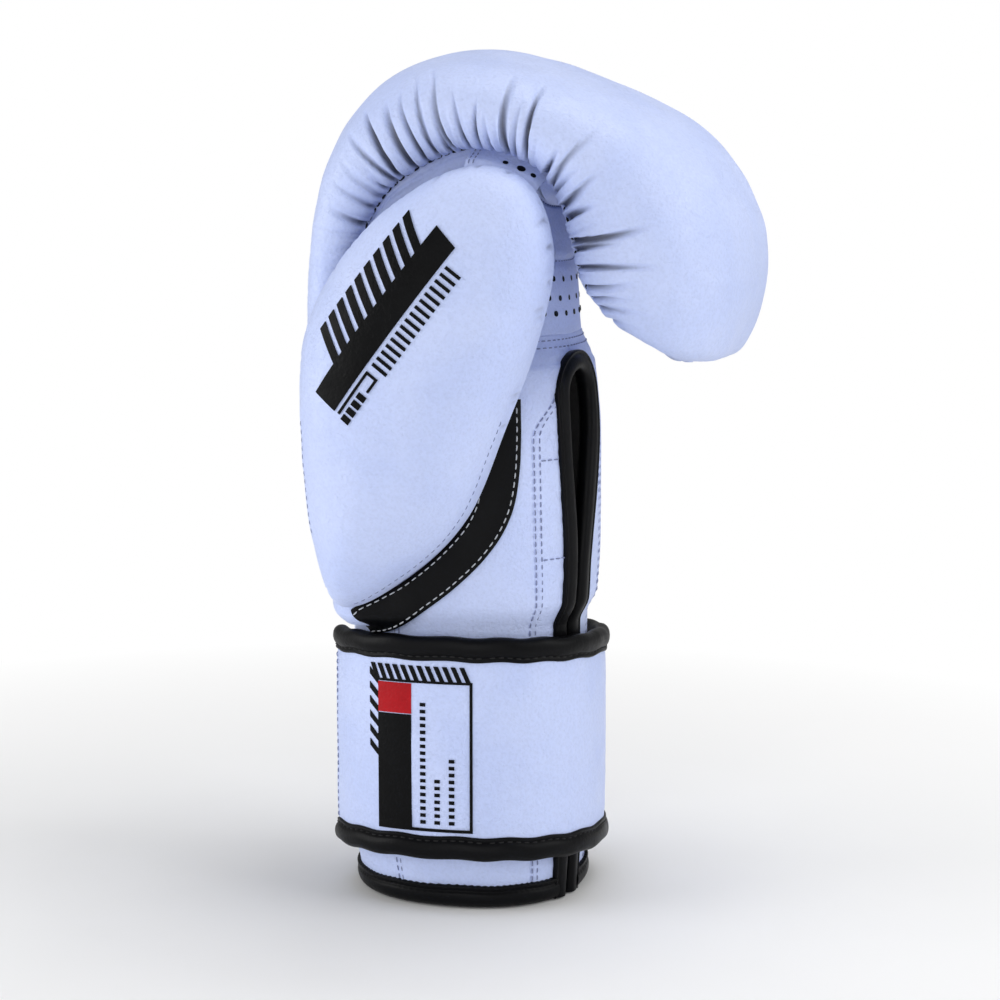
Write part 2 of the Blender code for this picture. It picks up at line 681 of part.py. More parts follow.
def build_thumb(where, hole):
    outer = sheet("thumb_outer_panel", thumb_rows(THUMB_DEPTH), LEATHER, "leather_white", where,
                  closed=True)
    close_crown(outer.data)

    base = 1.3 * MM
    dome = lifted(thumb_rows(THUMB_DEPTH - LEATHER - GAP, inset=2.6 * MM), base)
    hollow = lifted(thumb_rows(THUMB_DEPTH - THUMB_FOAM, inset=12 * MM), base)
    solid("thumb_foam", dome[::-1] + hollow, "foam", where)

    pocket = lifted(thumb_rows(THUMB_DEPTH - THUMB_FOAM - 2 * GAP, inset=12.8 * MM), base)
    lining = sheet("thumb_lining", pocket, LINING, "lining_black", where, closed=True)
    close_crown(lining.data)

    rows = thumb_rows(0.0, inset=3.0 * MM, rings=(0.0, 0.6, 1.0))
    inner = sheet("thumb_inner_panel", rows, 0.9 * MM, "leather_white", where, closed=True)
    close_crown(inner.data)
    cut(inner, hole)


def thumb_lock(where):
    """Short strap from the side seam to the thumb's tip; it keeps the thumb in line."""
    rows = []
    for start, end in zip(seam_outline(6.0, 6.9, 3.0 * MM, 4), seam_outline(6.0, 6.9, 9 * MM, 4)):
        rows.append([Vector((start.x + (end.x - start.x) * t, (-44.6 - 14.4 * t) * MM,
                             start.y + (end.y - start.y) * t)) for t in np.linspace(0, 1, 5)])
    sheet("thumb_lock_strap", rows, LEATHER, "leather_white", where, grow=0.0)


# Origin and joint axes ----------------------------------------------------------------------------

def move_to_origin():
    """Moves the pieces and their cutters, drawn about the cuff's centre, to the frame's origin."""
    for obj in bpy.data.objects:
        obj.location += CUFF_CENTRE


def axis_empty(name, place, where):
    """An empty on a joint's axis, for the pieces that move with the joint."""
    empty = bpy.data.objects.new(name, None)
    empty.location = place + CUFF_CENTRE
    empty.empty_display_size = 20 * MM
    where.objects.link(empty)
    return empty


def hang(pieces, empty):
    """Parents pieces, or the next joint's empty, to an empty and leaves them where they are."""
    bpy.context.view_layer.update()
    for piece in pieces:
        piece.parent = empty
        piece.matrix_parent_inverse = empty.matrix_world.inverted()


def build_joints(where):
    def pieces(start):
        return [obj for obj in where.objects if obj.type != "EMPTY" and obj.name.startswith(start)
                and obj.name != "thumb_lock_strap"]

    hang(pieces("finger_"), axis_empty("fist_axis", FIST_AXIS, where))
    hang(pieces("thumb_"), axis_empty("thumb_axis", THUMB_AXIS, where))
    parent = None
    for name, angle in zip(("palm", "thumb", "end"), STRAP_HINGES):
        place = tube_point(TUBE, angle, 60 * MM, STRAP_STAND_OFF + STRAP_THICK + 1.1 * MM)
        empty = axis_empty(f"strap_{name}_axis", place, where)
        hang(pieces(f"strap_link_{name}"), empty)
        if parent:
            hang([empty], parent)
        parent = empty
    hang(pieces("hook_patch"), parent)


def main():
    clear_scene()
    glove = collection("boxing_glove")
    cutters = collection("cutters")
    slit = slit_cutter(cutters)
    hole = thumb_hole_cutter(cutters)
    cavity = cavity_cutter(cutters)
    build_cuff(glove, slit, hole)
    build_palm(glove, slit, hole)
    side_gussets(glove)
    trim_band(glove)
    build_strap(glove)
    build_back(glove, cavity)
    build_fingers(glove)
    build_thumb(glove, hole)
    thumb_lock(glove)
    move_to_origin()
    build_joints(glove)


main()
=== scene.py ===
"""Looks of a left-hand boxing glove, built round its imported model.

Shapes are drawn in millimetres about the cuff's centre, as the model's are, and put into the model's
frame when a mesh is made: +Z from the hem to the knuckles, +X towards the palm, -Y towards the thumb.
Angles round the hand are in degrees from +X, and the thumb side is negative.
"""

import json
import math

import bpy
import numpy as np
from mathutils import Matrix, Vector, noise
from mathutils.bvhtree import BVHTree


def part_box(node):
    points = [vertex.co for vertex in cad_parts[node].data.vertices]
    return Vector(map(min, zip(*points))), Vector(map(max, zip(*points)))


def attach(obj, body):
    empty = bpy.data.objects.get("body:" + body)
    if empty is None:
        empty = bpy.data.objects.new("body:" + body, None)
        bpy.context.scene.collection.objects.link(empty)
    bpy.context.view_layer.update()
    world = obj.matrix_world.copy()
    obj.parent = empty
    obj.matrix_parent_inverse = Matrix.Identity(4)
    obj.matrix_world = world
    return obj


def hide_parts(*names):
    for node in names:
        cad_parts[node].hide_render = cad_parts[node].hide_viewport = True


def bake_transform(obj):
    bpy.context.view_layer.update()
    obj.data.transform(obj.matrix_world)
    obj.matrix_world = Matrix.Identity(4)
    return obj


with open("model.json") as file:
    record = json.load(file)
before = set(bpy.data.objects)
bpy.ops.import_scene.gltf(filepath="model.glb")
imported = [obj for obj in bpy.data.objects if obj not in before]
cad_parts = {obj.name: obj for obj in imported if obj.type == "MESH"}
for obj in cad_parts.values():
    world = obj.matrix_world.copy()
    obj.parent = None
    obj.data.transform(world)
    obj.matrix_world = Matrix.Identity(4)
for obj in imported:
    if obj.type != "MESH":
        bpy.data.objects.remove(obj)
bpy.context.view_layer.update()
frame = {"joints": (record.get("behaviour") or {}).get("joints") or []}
MM = 0.001

# Driving shapes, the model's with small corrections for the soft leather ----------------------------

# Outer leather of the hand tube: height, centre x, half width in x, half width in y
TUBE = (
    (0, 1.0, 38.5, 37.5), (8, 0.5, 39.5, 38.5), (18, 0.0, 40.5, 39.5), (97, 0.0, 40.5, 39.5),
    (106, 0.5, 43.8, 42.2), (132, 0.0, 45.0, 46.0), (160, 0.0, 44.7, 48.2), (184, -0.5, 43.0, 49.0),
    (205, -1.0, 41.0, 49.0), (228, -1.0, 38.5, 46.5), (250, -1.0, 33.0, 43.0),
)
# Inner face of the hand's lining, in the same form
CAVITY = (
    (0, 0.5, 28.5, 28.0), (18, 0.0, 29.5, 29.0), (97, 0.0, 30.0, 29.5), (112, 2.0, 28.5, 33.0),
    (132, 5.0, 27.0, 38.0), (160, 6.0, 26.0, 41.0), (195, 5.0, 26.5, 41.5), (228, 4.0, 25.5, 40.5),
    (250, 3.0, 20.0, 37.0),
)
# Stations of the padded roll: outer x, z, side seam x, z, half width, half width at the seam
ROLL = (
    (-44, 104, -18.8, 104, 40, 39), (-47.5, 138, -20.5, 138, 45, 42),
    (-49.5, 180, -23, 180, 49, 44), (-47, 221, -26.5, 221, 53, 45),
    (-38.5, 259.5, -18.5, 241.3, 56, 46), (-19, 283.2, -4.5, 253.0, 58, 46),
    (10, 290.8, 15, 259.4, 60, 46), (44.5, 281.8, 36, 253.8, 61, 46),
    (79, 264.3, 44.2, 241.5, 61, 46), (97, 238, 48, 228.5, 60, 46),
    (99.7, 213.5, 51.8, 215, 57, 45), (93, 192.2, 60.5, 204.5, 50, 40),
    (81.3, 189.3, 73, 198.8, 38, 32),
)
SPLIT_STATION = 7               # the fist opens about the outer skin here
LAST_STATION = len(ROLL) - 1
THUMB_OUTLINE = (
    (-31, 105.3), (-7, 117.6), (13, 138), (26.8, 168.5), (38.5, 198), (44, 225), (37, 247),
    (18, 253.2), (-6, 242.6), (-27, 222.5), (-40.5, 195), (-42.4, 161), (-40, 126),
)
TRIM_MIDDLE = (
    (-27.7, 98.4), (-17.6, 103.4), (-9.3, 108.4), (-1.4, 114.2), (5.6, 120.3), (11.9, 127),
    (16.7, 134), (19.9, 142), (21.5, 152.4), (22, 164), (21.8, 176.5),
)
SQUARENESS = 2.3                # exponent of the superellipse sections
WIDEST = 0.35                   # where the roll is widest, as a share of its depth from the seam
SEAM_ANGLE = 110.0              # side seams of the palm side
SLIT_ANGLE = -18.0              # middle of the opening
SLIT_NARROW, SLIT_WIDE = 4.0, 11.6
SLIT_TOP = 187.4
STRAP_START, STRAP_END = 58.0, -153.0
STRAP_HINGES = (20.0, -45.0, -100.0)
STRAP_LOW, STRAP_HIGH = 15.0, 92.0
STRAP_BINDING = 7.5
STRAP_OUTER = 6.3               # strap's outer face above the cuff's leather
STRAP_THICK = 2.4
STRAP_SLOPE = math.tan(math.radians(0.3))    # the strap rises towards the palm
STRAP_TILT = math.tan(math.radians(5.0))     # and towards the thumb
PATCH_START, PATCH_END = -117.0, -200.0
HOOK_END = -151.0
THUMB_FOOT_Z, THUMB_BASE_Y, THUMB_LEAN, THUMB_DEPTH = 102.0, -45.5, 0.105, 29.0
LEATHER = 1.5
FIST_AXIS = np.array((44.5, 0.0, 281.8))
FIST_STRETCH = 19.0             # length of skin, past the split station, that bends on the glove as the fist opens

# Places read from the frame -------------------------------------------------------------------------

HINGES = {joint["name"]: np.array(joint["pos_m"]) / MM for joint in frame["joints"]}
CENTRE = HINGES["fist_flex"] - FIST_AXIS     # the cuff's centre in the model's frame
HEM_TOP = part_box("hem_binding")[1].z / MM
CUFF_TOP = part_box("back_cuff_panel")[1].z / MM
PANEL_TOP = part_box("wrist_panel")[1].z / MM
LINING_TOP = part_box("hand_lining")[1].z / MM


# Numbers and curves ---------------------------------------------------------------------------------

def ease(t):
    """0 below 0, 1 above 1, smooth between."""
    t = np.clip(t, 0, 1)
    return t * t * (3 - 2 * t)


def curve(points, at, closed=False):
    """Catmull-Rom curve through rows of numbers; row i is reached at parameter i."""
    rows = np.asarray(points, float)
    count = len(rows)
    if closed:
        rows = np.vstack([rows[-1:], rows, rows[:2]])
        at = np.mod(np.atleast_1d(at), count)
    else:
        rows = np.vstack([2 * rows[0] - rows[1], rows, 2 * rows[-1] - rows[-2]])
        at = np.clip(np.atleast_1d(at), 0, count - 1 - 1e-9)
    i = at.astype(int)
    t = (at - i)[:, None]
    a, b, c, d = rows[i], rows[i + 1], rows[i + 2], rows[i + 3]
    return 0.5 * (2 * b + (c - a) * t + (2 * a - 5 * b + 4 * c - d) * t ** 2
                  + (3 * b - a - 3 * c + d) * t ** 3)


def profile(table, at):
    """Smooth curve, without overshoot, of a table's other columns over its first one."""
    table = np.asarray(table, float)
    x, y = table[:, 0], table[:, 1:]
    gaps = np.diff(x)[:, None]
    slope = np.diff(y, axis=0) / gaps
    before, after = slope[:-1], slope[1:]
    total = np.where(np.abs(before + after) < 1e-9, 1, before + after)
    tangent = np.zeros_like(y)
    tangent[1:-1] = np.where(before * after > 0, 2 * before * after / total, 0)
    tangent[0], tangent[-1] = slope[0], slope[-1]
    i = np.clip(np.searchsorted(x, at) - 1, 0, len(x) - 2)
    h = gaps[i]
    t = np.clip((at - x[i])[:, None] / h, 0, 1)
    return ((1 + 2 * t) * (1 - t) ** 2 * y[i] + t * (1 - t) ** 2 * h * tangent[i]
            + t * t * (3 - 2 * t) * y[i + 1] + t * t * (t - 1) * h * tangent[i + 1])


def lengths(path):
    """Distance walked along a path at each of its points."""
    return np.concatenate([[0], np.cumsum(np.linalg.norm(np.diff(path, axis=0), axis=1))])


def between(rows, known, at):
    """Rows of numbers at places between those where they are known."""
    return np.stack([np.interp(at, known, column) for column in rows.T], -1)


def even(path, count, closed=False):
    """A path's points, spaced evenly."""
    if closed:
        path = np.vstack([path, path[:1]])
    walked = lengths(path)
    at = np.linspace(0, walked[-1], count, endpoint=not closed)
    return between(path, walked, at)


def unit(vectors):
    """The vectors at length 1."""
    return vectors / np.linalg.norm(vectors, axis=-1, keepdims=True)


def normals(points, closed=False):
    """Unit normals of a grid of points, on the side its faces look to."""
    down = np.gradient(points, axis=0)
    if closed:
        wrapped = np.concatenate([points[:, -1:], points, points[:, :1]], axis=1)
        across = np.gradient(wrapped, axis=1)[:, 1:-1]
    else:
        across = np.gradient(points, axis=1)
    n = np.cross(across, down)
    return n / np.maximum(np.linalg.norm(n, axis=-1, keepdims=True), 1e-9)


def rough(points, size, seed=0.0):
    """Smooth noise, from -1 to 1, whose features are about size mm wide."""
    flat = points.reshape(-1, points.shape[-1]) / size + seed
    found = [noise.noise(Vector(p)) for p in flat]
    return np.array(found).reshape(points.shape[:-1])


# Surfaces -------------------------------------------------------------------------------------------

def tube_point(table, degrees, height, lift=0.0):
    """Points of the hand tube."""
    degrees, height, lift = np.broadcast_arrays(
        np.asarray(degrees, float), np.asarray(height, float), np.asarray(lift, float))
    centre, half_x, half_y = (part.reshape(height.shape) for part in profile(table, height.ravel()).T)
    c, s = np.cos(np.radians(degrees)), np.sin(np.radians(degrees))
    power = 2 / SQUARENESS
    x = centre + (half_x + lift) * np.sign(c) * np.abs(c) ** power
    y = (half_y + lift) * np.sign(s) * np.abs(s) ** power
    return np.stack([x, y, height], -1)


SIDE_SEAM = curve([(row[3], row[2], row[5]) for row in ROLL[:7]], np.linspace(0, 5.9, 120))


def hand_surface(degrees, height):
    """The palm side's leather. Above the cuff its two edges run to the roll's side seams."""
    degrees, height = np.broadcast_arrays(np.asarray(degrees, float), np.asarray(height, float))
    hollow = 3.4 * ease((height - 185) / 12) * ease((100 - np.abs(degrees)) / 45)
    point = tube_point(TUBE, degrees, height, -hollow)
    x = np.interp(height, SIDE_SEAM[:, 0], SIDE_SEAM[:, 1])
    y = np.interp(height, SIDE_SEAM[:, 0], SIDE_SEAM[:, 2])
    seam = np.stack([x, np.sign(degrees) * y, height], -1)
    near = ease((np.abs(degrees) - 80) / (SEAM_ANGLE - 80)) * ease((height - 99) / 14)
    return point + (seam - point) * near[..., None]


def strap_point(degrees, height, lift=0.0):
    """Points of the strap; lift is the distance above its outer face."""
    around = tube_point(TUBE, degrees, np.full(np.shape(degrees), 60.0), STRAP_OUTER + lift)
    x, y = around[..., 0], around[..., 1]
    return np.stack([x, y, height + STRAP_SLOPE * x - STRAP_TILT * y], -1)


def on_surface(surface, first, second, lift=0.0):
    """Points lifted off a surface, and its normals there."""
    step = 0.05
    across = surface(first + step, second) - surface(first - step, second)
    up = surface(first, second + step) - surface(first, second - step)
    away = unit(np.cross(across, up))
    return surface(first, second) + away * lift, away


# Meshes ---------------------------------------------------------------------------------------------

def faces_of(rows, columns, closed=False, keep=None, first=0):
    """Four-sided faces over a grid of points that are numbered row by row from first."""
    i, j = np.meshgrid(np.arange(rows - 1), np.arange(columns if closed else columns - 1),
                       indexing="ij")
    k = (j + 1) % columns
    quads = np.stack([i * columns + j, i * columns + k, (i + 1) * columns + k,
                      (i + 1) * columns + j], -1)
    quads = quads.reshape(-1, 4) if keep is None else quads[keep]
    return (quads + first).tolist()


def new_object(name, points, faces):
    """A mesh of points given in mm about the cuff's centre."""
    mesh = bpy.data.meshes.new(name)
    placed = (np.asarray(points, float).reshape(-1, 3) + CENTRE) * MM
    mesh.from_pydata(placed.tolist(), [], faces)
    mesh.shade_smooth()
    obj = bpy.data.objects.new(name, mesh)
    bpy.context.scene.collection.objects.link(obj)
    return obj


def thicken(obj, thickness):
    """Makes a sheet solid, away from its outer side."""
    wall = obj.modifiers.new("wall", "SOLIDIFY")
    wall.thickness = thickness * MM
    wall.offset = -1
    graph = bpy.context.evaluated_depsgraph_get()
    mesh = bpy.data.meshes.new_from_object(obj.evaluated_get(graph))
    obj.modifiers.clear()
    obj.data = mesh


def mark_crease_shade(obj, crease):
    """Tells the leather where it is creased, from 0 to 1, for the painted shade in its creases."""
    layer = obj.data.attributes.new("crease", "FLOAT", "POINT")
    layer.data.foreach_set("value", crease.astype(np.float32).ravel())


def dress(obj, material, rides, stands_for=(), sharp=50.0):
    """Gives a piece its material and hides the nodes it stands for. rides is a body, which the piece is
    parented to, or a bend between two bodies, which is not applied: the piece only has its transform
    baked.
    """
    obj.data.materials.clear()
    obj.data.materials.append(material)
    obj.data.set_sharp_from_angle(angle=math.radians(sharp))
    if isinstance(rides, str):
        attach(obj, rides)
    else:
        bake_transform(obj)
    if stands_for:
        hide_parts(*stands_for)
    return obj


def sheet(name, points, material, rides, stands_for=(), wall=1.2, closed=False, keep=None,
          crease=None, sharp=50.0):
    """A leather or fabric sheet over a grid of points."""
    rows, columns = points.shape[:2]
    obj = new_object(name, points, faces_of(rows, columns, closed, keep))
    if crease is not None:
        mark_crease_shade(obj, crease)
    if wall:
        thicken(obj, wall)
    return dress(obj, material, rides, stands_for, sharp)


def capped(rings, width, first=0):
    """Faces of a solid through closed rings of points."""
    last = first + (rings - 1) * width
    return faces_of(rings, width, closed=True, first=first) + [
        list(range(first, first + width))[::-1], list(range(last, last + width))]


def loft(name, rings, material, rides, stands_for=()):
    """A solid through closed rings of points."""
    rings = np.asarray(rings)
    return dress(new_object(name, rings, capped(*rings.shape[:2])), material, rides, stands_for)


def discs(name, places, sides, material, rides):
    """Small flat discs. Each place is a centre, its axes across, up and away, and its rings, as
    (radius, lift)."""
    turn = np.linspace(0, 2 * math.pi, sides + 1)[:-1, None]
    points, faces = [], []
    for centre, across, up, away, rings in places:
        faces += capped(len(rings), sides, first=len(points) * sides)
        for radius, lift in rings:
            points.append(centre + (np.cos(turn) * across + np.sin(turn) * up) * radius + away * lift)
    dress(new_object(name, np.concatenate(points), faces), material, rides)


def patch_grid(patches, step):
    """Flat points and faces over patches of four corners each, about a step apart."""
    points, faces, count = [], [], 0
    for corners in patches:
        a, b, c, d = np.array(corners, float)
        columns = max(3, int(np.linalg.norm(b - a) / step[0]) + 2)
        rows = max(3, int(np.linalg.norm(d - a) / step[1]) + 2)
        t, s = np.meshgrid(np.linspace(0, 1, rows), np.linspace(0, 1, columns), indexing="ij")
        t, s = t.reshape(-1, 1), s.reshape(-1, 1)
        points.append((a * (1 - s) + b * s) * (1 - t) + (d * (1 - s) + c * s) * t)
        faces += faces_of(rows, columns, first=count)
        count += rows * columns
    return np.concatenate(points), faces


THREAD_ALONG = np.array((-1.0, -0.72, 0.0, 0.72, 1.0))
THREAD_WIDTH = np.array((0.45, 0.9, 1.0, 0.9, 0.45))
THREAD_LIFT = np.array((-1.0, 0.05, 0.5, 0.05, -1.0))


def thread(name, rows, material, rides, pitch=3.0, length=2.1, radius=0.32):
    """Stitches along rows of (points, normals): short lengths of thread that dip in at their ends."""
    turn = np.linspace(0, 2 * math.pi, 7)[:-1]
    points, faces = [], []
    for path, away in rows:
        walked = lengths(path)
        for at in np.arange(pitch / 2, walked[-1] - pitch / 3, pitch):
            centre = between(path, walked, at)
            ahead = unit(between(path, walked, at + 0.3) - centre)
            up = between(away, walked, at)
            up = unit(up - ahead * (up @ ahead))
            side = np.cross(ahead, up)
            first = len(points) * 30
            ring = np.cos(turn)[:, None] * up + np.sin(turn)[:, None] * side
            one = (centre + THREAD_ALONG[:, None, None] * ahead * length / 2
                   + THREAD_WIDTH[:, None, None] * ring * radius
                   + THREAD_LIFT[:, None, None] * up * radius)
            points.append(one.reshape(-1, 3))
            faces += capped(5, 6, first)
    obj = new_object(name, np.concatenate(points), faces)
    return dress(obj, material, rides)


# Materials ------------------------------------------------------------------------------------------

def linear(colour):
    """A colour as the shaders take it, from its screen values."""
    return (*(((c + 0.055) / 1.055) ** 2.4 if c > 0.04 else c / 12.92 for c in colour), 1.0)


def scaled(colour, factor, added=0.0):
    """A lighter or darker colour; factor is one number or three."""
    return (*(np.array(colour[:3]) * factor + added).tolist(), 1.0)


class Shader:
    """A material's node tree, with short calls to add and join nodes."""

    def __init__(self, name, roughness):
        self.material = bpy.data.materials.new(name)
        self.material.use_nodes = True
        self.tree = self.material.node_tree
        self.surface = self.tree.nodes["Principled BSDF"]
        self.surface.inputs["Roughness"].default_value = roughness
        self.place = self.add("ShaderNodeTexCoord").outputs["Object"]

    def add(self, kind, inputs=(), **settings):
        node = self.tree.nodes.new(kind)
        for key, value in settings.items():
            setattr(node, key, value)
        for key, value in dict(inputs).items():
            if isinstance(value, bpy.types.NodeSocket):
                self.tree.links.new(value, node.inputs[key])
            else:
                node.inputs[key].default_value = value
        return node

    def noise(self, size, detail=2.0):
        """Noise with features of about size mm."""
        made = self.add("ShaderNodeTexNoise", {"Vector": self.place, "Scale": 1 / (size * MM),
                                               "Detail": detail})
        return made.outputs["Fac"]

    def cells(self, size):
        """Distance from the middles of cells of about size mm."""
        made = self.add("ShaderNodeTexVoronoi", {"Vector": self.place, "Scale": 1 / (size * MM)},
                        feature="SMOOTH_F1")
        return made.outputs["Distance"]

    def math(self, operation, first, second=0.0, third=0.0):
        made = self.add("ShaderNodeMath", {0: first, 1: second, 2: third}, operation=operation)
        return made.outputs[0]

    def span(self, value, low, high, out_low=0.0, out_high=1.0):
        made = self.add("ShaderNodeMapRange", {"Value": value, "From Min": low, "From Max": high,
                                               "To Min": out_low, "To Max": out_high})
        return made.outputs["Result"]

    def mix(self, share, first, second):
        made = self.add("ShaderNodeMix", {0: share, 6: first, 7: second}, data_type="RGBA")
        return made.outputs[2]

    def colour(self, value):
        self.tree.links.new(value, self.surface.inputs["Base Color"])

    def roughness(self, value):
        self.tree.links.new(value, self.surface.inputs["Roughness"])

    def bump(self, height, depth):
        """Relief of depth mm where height goes from 0 to 1."""
        made = self.add("ShaderNodeBump", {"Height": height, "Distance": depth * MM, "Strength": 1.0})
        self.tree.links.new(made.outputs["Normal"], self.surface.inputs["Normal"])


def leather(name, colour, roughness, grain=0.20, creases=False, shine=0.45,
            wear=(0.972, 0.978, 0.992)):
    """Pebbled, coated leather: grain and fine wrinkles in relief, uneven tone, and, with creases on,
    painted shade that darkens its creases.
    """
    shader = Shader(name, roughness)
    pebble = shader.cells(1.1)
    fine = shader.noise(0.45, 3)
    wrinkle = shader.noise(5.0, 6)
    fold = shader.math("ABSOLUTE", shader.math("SUBTRACT", wrinkle, 0.5))
    lines = shader.span(fold, 0.0, 0.035)
    height = shader.math("MULTIPLY_ADD", pebble, 0.9, shader.math("MULTIPLY", fine, 0.45))
    height = shader.math("MULTIPLY_ADD", lines, 0.35, height)
    shader.bump(height, grain)
    base = linear(colour)
    toned = scaled(base, linear(wear)[:3])
    uneven = shader.span(shader.noise(28, 4), 0.42, 0.62)
    shade = shader.mix(uneven, base, toned)
    speck = shader.span(shader.math("MULTIPLY", pebble, fine), 0.05, 0.30, 0.0, 1.0)
    shade = shader.mix(speck, shader.mix(0.06, shade, (0.0, 0.0, 0.0, 1.0)), shade)
    # Painted shade: the colour darkens to about an eighth of its base where the crease attribute marks
    # the folds' valleys
    if creases:
        depth = shader.add("ShaderNodeAttribute", attribute_name="crease").outputs["Fac"]
        shade = shader.mix(shader.span(depth, 0.0, 1.0, 0.0, 0.92), shade,
                           scaled(base, (0.13, 0.12, 0.11)))
    shader.colour(shade)
    shader.roughness(shader.span(shader.noise(9, 3), 0.3, 0.7, roughness - 0.05, roughness + 0.09))
    shader.surface.inputs["Specular IOR Level"].default_value = shine
    return shader.material


def cloth(name, colour, weave=0.55, fuzz=0.25):
    """Woven lining: two crossing sets of ribs in relief."""
    shader = Shader(name, 0.88)
    ribs = []
    for direction in ("X", "Z"):
        wave = shader.add("ShaderNodeTexWave", {"Vector": shader.place, "Scale": 0.5 / (weave * MM),
                                                "Distortion": 1.5}, bands_direction=direction)
        ribs.append(wave.outputs["Fac"])
    shader.bump(shader.math("MAXIMUM", ribs[0], ribs[1]), 0.12)
    base = linear(colour)
    shader.colour(shader.mix(shader.math("MULTIPLY", ribs[0], ribs[1]), base, scaled(base, 2.2, 0.004)))
    shader.surface.inputs["Sheen Weight"].default_value = fuzz
    return shader.material


def pile(name, colour, size, depth, roughness):
    """Loop pile or a bed of small hooks: dots in relief."""
    shader = Shader(name, roughness)
    dots = shader.span(shader.cells(size), 0.0, 0.55, 1.0, 0.0)
    tangle = shader.noise(size * 0.4, 4)
    shader.bump(shader.math("MULTIPLY_ADD", dots, 0.7, shader.math("MULTIPLY", tangle, 0.5)), depth)
    base = linear(colour)
    shader.colour(shader.mix(tangle, base, scaled(base, 3.0, 0.01)))
    shader.surface.inputs["Sheen Weight"].default_value = 0.3
    return shader.material


def yarn(name, colour):
    """Twisted sewing thread."""
    shader = Shader(name, 0.7)
    twist = shader.add("ShaderNodeTexWave", {"Vector": shader.place, "Scale": 1 / (0.35 * MM)},
                       bands_direction="DIAGONAL").outputs["Fac"]
    base = linear(colour)
    shader.colour(shader.mix(shader.math("MULTIPLY", twist, 0.8), base, scaled(base, 0.55)))
    shader.bump(twist, 0.05)
    return shader.material


WHITE = (0.785, 0.835, 0.985)
BLACK = (0.022, 0.025, 0.036)
LEATHER_WHITE = leather("leather_white", WHITE, 0.46)
# The same white leather, with painted shade in the valleys of its folds
LEATHER_CREASE_SHADED = leather("leather_crease_shaded", WHITE, 0.47, creases=True)
LEATHER_BLACK = leather("leather_black", BLACK, 0.40, grain=0.05, shine=0.12,
                        wear=(0.8, 0.8, 0.85))
PRINT_BLACK = leather("print_black", (0.020, 0.022, 0.030), 0.45, grain=0.10, shine=0.1,
                      wear=(0.7, 0.7, 0.75))
PRINT_RED = leather("print_red", (0.70, 0.015, 0.08), 0.42, grain=0.10, shine=0.2,
                    wear=(0.85, 0.8, 0.8))
LINING = cloth("lining_black", (0.035, 0.035, 0.042))
LOOPS = pile("loop_fabric", (0.04, 0.04, 0.045), 0.9, 0.35, 0.95)
HOOKS = pile("hook_plastic", (0.05, 0.05, 0.06), 1.4, 0.6, 0.55)
THREAD_WHITE = yarn("thread_white", (0.85, 0.87, 0.90))
THREAD_GREY = yarn("thread_grey", (0.60, 0.64, 0.80))
THREAD_DARK = yarn("thread_dark", (0.10, 0.10, 0.15))
THREAD_BLACK = yarn("thread_black", (0.05, 0.05, 0.06))


# Padded roll ----------------------------------------------------------------------------------------

def fist_bend():
    """A bend between the hand and the fingers, about the fist's axis over the first stretch past the
    split station.
    """
    seam_x, seam_z = ROLL[SPLIT_STATION][2:4]
    ahead = np.cross(unit(np.array((seam_x, 0, seam_z)) - FIST_AXIS), (0, 1, 0))
    ahead *= np.sign(ahead[0])
    return "hand", "fingers", FIST_AXIS, FIST_AXIS + ahead * FIST_STRETCH


FIST_BEND = fist_bend()
CREASE_DEPTH = 14.0             # of the fold between the palm and the fingers, under the seams


def pleats(along, away, seed, first, last, pitch=(3.6, 5.6), depth=(2.2, 4.6), reach=(20, 40),
           wide=(1.2, 2.7)):
    """Height of leather gathered into a seam: valleys, steep on one side, that run out from it."""
    draw = np.random.default_rng(seed)
    height = np.zeros_like(along)
    at = first
    while at < last:
        deep, length = draw.uniform(*depth), draw.uniform(*reach)
        broad, side = draw.uniform(*wide), (1 if draw.random() < 0.5 else -1)
        lean, sway, phase = draw.uniform(-0.07, 0.07), draw.uniform(-0.5, 0.5), draw.uniform(0, 6)
        t = away / length
        opening = broad * (0.35 + 0.65 * np.sin(np.pi * np.clip(t * 0.9 + 0.12, 0, 1)))
        off = (along - at - lean * away - sway * np.sin(away / 5 + phase)) * side
        gentle = np.clip(1 - np.clip(off / opening, 0, 1) ** 2, 0, 1)
        across = np.where(off > 0, gentle, np.clip(1 + off / 0.5, 0, 1))
        fade = np.clip(1 - t, 0, 1) ** 0.7 * (0.6 + 0.4 * ease(t / 0.2))
        height = np.minimum(height, -deep * across * fade)
        at += draw.uniform(*pitch)
    return height


def roll_section(stations):
    """Sections of the roll: middles of their seam lines, directions out from these, depths, and
    half widths at the widest and at the seam."""
    outer_x, outer_z, seam_x, seam_z, widest, seam = curve(ROLL, stations).T
    zero = np.zeros_like(outer_x)
    inner = np.stack([seam_x, zero, seam_z], -1)
    up = np.stack([outer_x, zero, outer_z], -1) - inner
    return inner, unit(up), np.linalg.norm(up, axis=1), widest, seam


